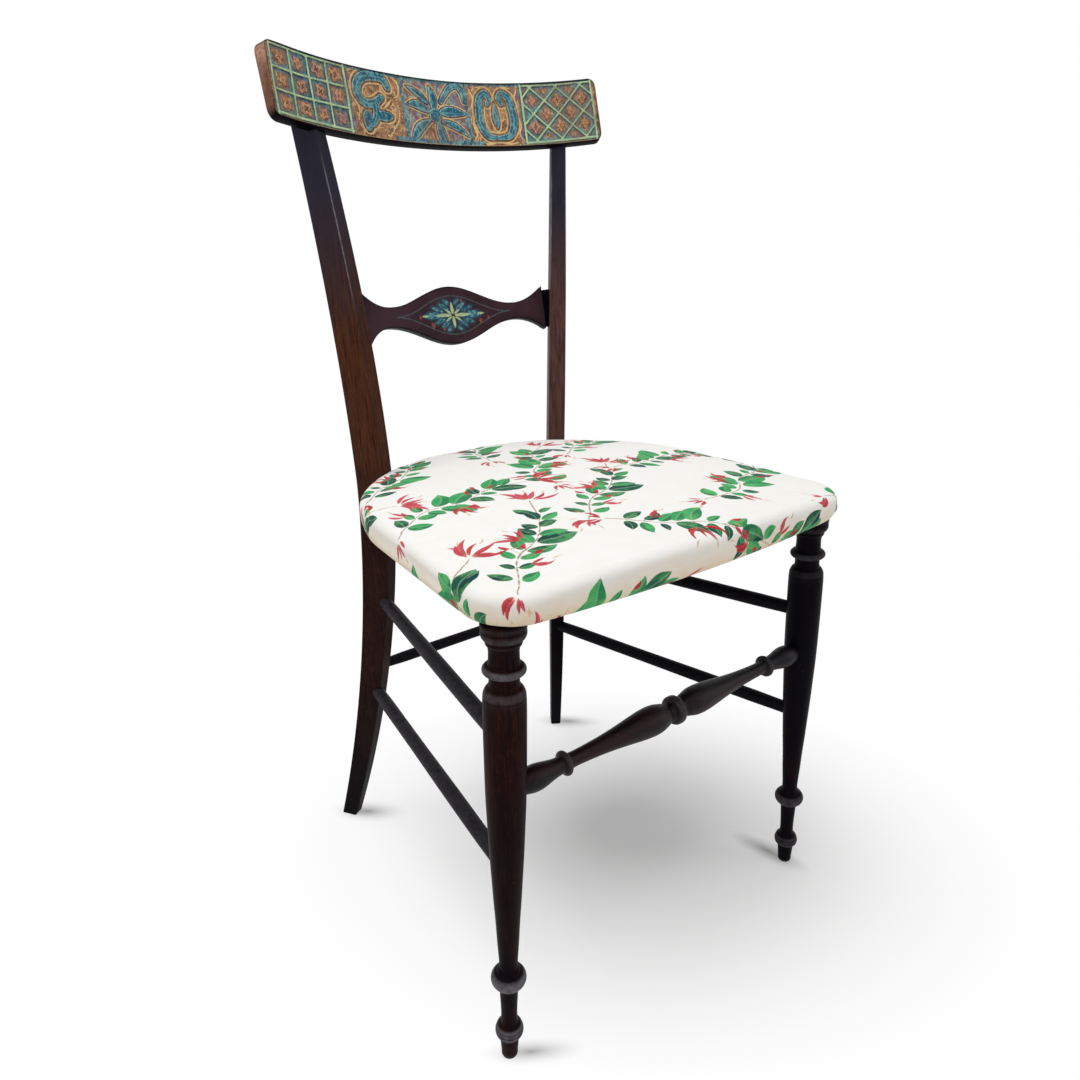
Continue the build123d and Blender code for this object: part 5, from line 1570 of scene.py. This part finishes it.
def area_lamp(name, place, aim, size, power, tone):
    data = bpy.data.lights.new(name, "AREA")
    data.shape, data.size, data.energy, data.color = "DISK", size, power, tone
    lamp = bpy.data.objects.new(name, data)
    turn = (Vector(aim) - Vector(place)).to_track_quat("-Z", "Y").to_matrix().to_4x4()
    lamp.matrix_world = Matrix.Translation(place) @ turn
    bpy.context.scene.collection.objects.link(lamp)
    return lamp


class CHAIR_OT_stage(bpy.types.Operator):
    """Sets the floor, the lamps, the surround and the camera"""

    bl_idname = "chair.stage"
    bl_label = "Stage"

    def execute(self, context):
        stage = context.scene.chair_stage
        corners = FLOOR_HALF * np.array([(-1, -1, 0), (1, -1, 0), (1, 1, 0), (-1, 1, 0)])
        floor = make_piece("pale_floor", corners, [(0, 1, 2, 3)])
        floor.data.materials.append(pale_floor())
        lamps = [
            area_lamp("key_lamp", (-1.5, -1.3, 2.5), (0, 0, 0.4), 1.6, stage.key_power, (1.0, 0.985, 0.96)),
            area_lamp("top_lamp", (-0.5, 0.25, 2.5), (0.05, -0.05, 0), 1.3, stage.top_power, (1.0, 1.0, 1.0)),
            area_lamp("fill_lamp", (1.9, -1.9, 1.3), (0, 0, 0.4), 1.4, stage.fill_power, (0.97, 0.985, 1.0)),
        ]
        context.scene.world = world = bpy.data.worlds.new("surround")
        surround = Tree(world)
        ambient, white = surround.tree.nodes["Background"], surround.tree.nodes.new("ShaderNodeBackground")
        for backdrop, strength in ((ambient, stage.ambient), (white, 1.0)):
            surround.set(backdrop.inputs["Color"], (1, 1, 1))
            surround.set(backdrop.inputs["Strength"], strength)
        ambient, white = [Wire(surround, backdrop.outputs[0]) for backdrop in (ambient, white)]
        shader = surround.blend(surround.seen(), ambient, white)
        surround.set(surround.tree.nodes["World Output"].inputs["Surface"], shader)
        context.scene.view_settings.view_transform = "Standard"
        data = bpy.data.cameras.new("view")
        data.lens, data.sensor_width = stage.lens, 36.0
        data.shift_x, data.shift_y = stage.shift
        data.clip_start, data.clip_end = 0.02, 60.0
        camera = bpy.data.objects.new("view", data)
        turns = ((-stage.yaw, "Z"), (math.pi / 2 - stage.pitch, "X"), (stage.roll, "Z"))
        yaw, pitch, roll = [Matrix.Rotation(angle, 4, axis) for angle, axis in turns]
        camera.matrix_world = Matrix.Translation(stage.place) @ yaw @ pitch @ roll
        context.scene.collection.objects.link(camera)
        context.scene.camera = camera
        return {"FINISHED"}


class CHAIR_PT_panel(bpy.types.Panel):
    """Sizes, colours and steps of the chair"""

    bl_idname = "CHAIR_PT_panel"
    bl_label = "Painted side chair"
    bl_space_type = "VIEW_3D"
    bl_region_type = "UI"
    bl_category = "Chair"

    def draw(self, context):
        for group in (context.scene.chair_sizes, context.scene.chair_colours, context.scene.chair_stage):
            box = self.layout.box()
            for key in group.__annotations__:
                box.prop(group, key)
        for step in STEPS:
            self.layout.operator(step.bl_idname)


STEPS = (
    CHAIR_OT_turned, CHAIR_OT_rods, CHAIR_OT_posts, CHAIR_OT_back_boards, CHAIR_OT_seat, CHAIR_OT_underside,
    CHAIR_OT_hidden_frame, CHAIR_OT_stage,
)
GROUPS = {"chair_sizes": ChairSizes, "chair_colours": ChairColours, "chair_stage": ChairStage}


def register():
    for group in GROUPS.values():
        bpy.utils.register_class(group)
    for key, group in GROUPS.items():
        setattr(bpy.types.Scene, key, bpy.props.PointerProperty(type=group))
    for step in STEPS + (CHAIR_PT_panel,):
        bpy.utils.register_class(step)


def unregister():
    for step in STEPS + (CHAIR_PT_panel,):
        bpy.utils.unregister_class(step)
    for key, group in GROUPS.items():
        delattr(bpy.types.Scene, key)
        bpy.utils.unregister_class(group)


def main():
    register()
    for step in STEPS:
        family, action = step.bl_idname.split(".")
        getattr(getattr(bpy.ops, family), action)()


if __name__ == "__main__":
    main()
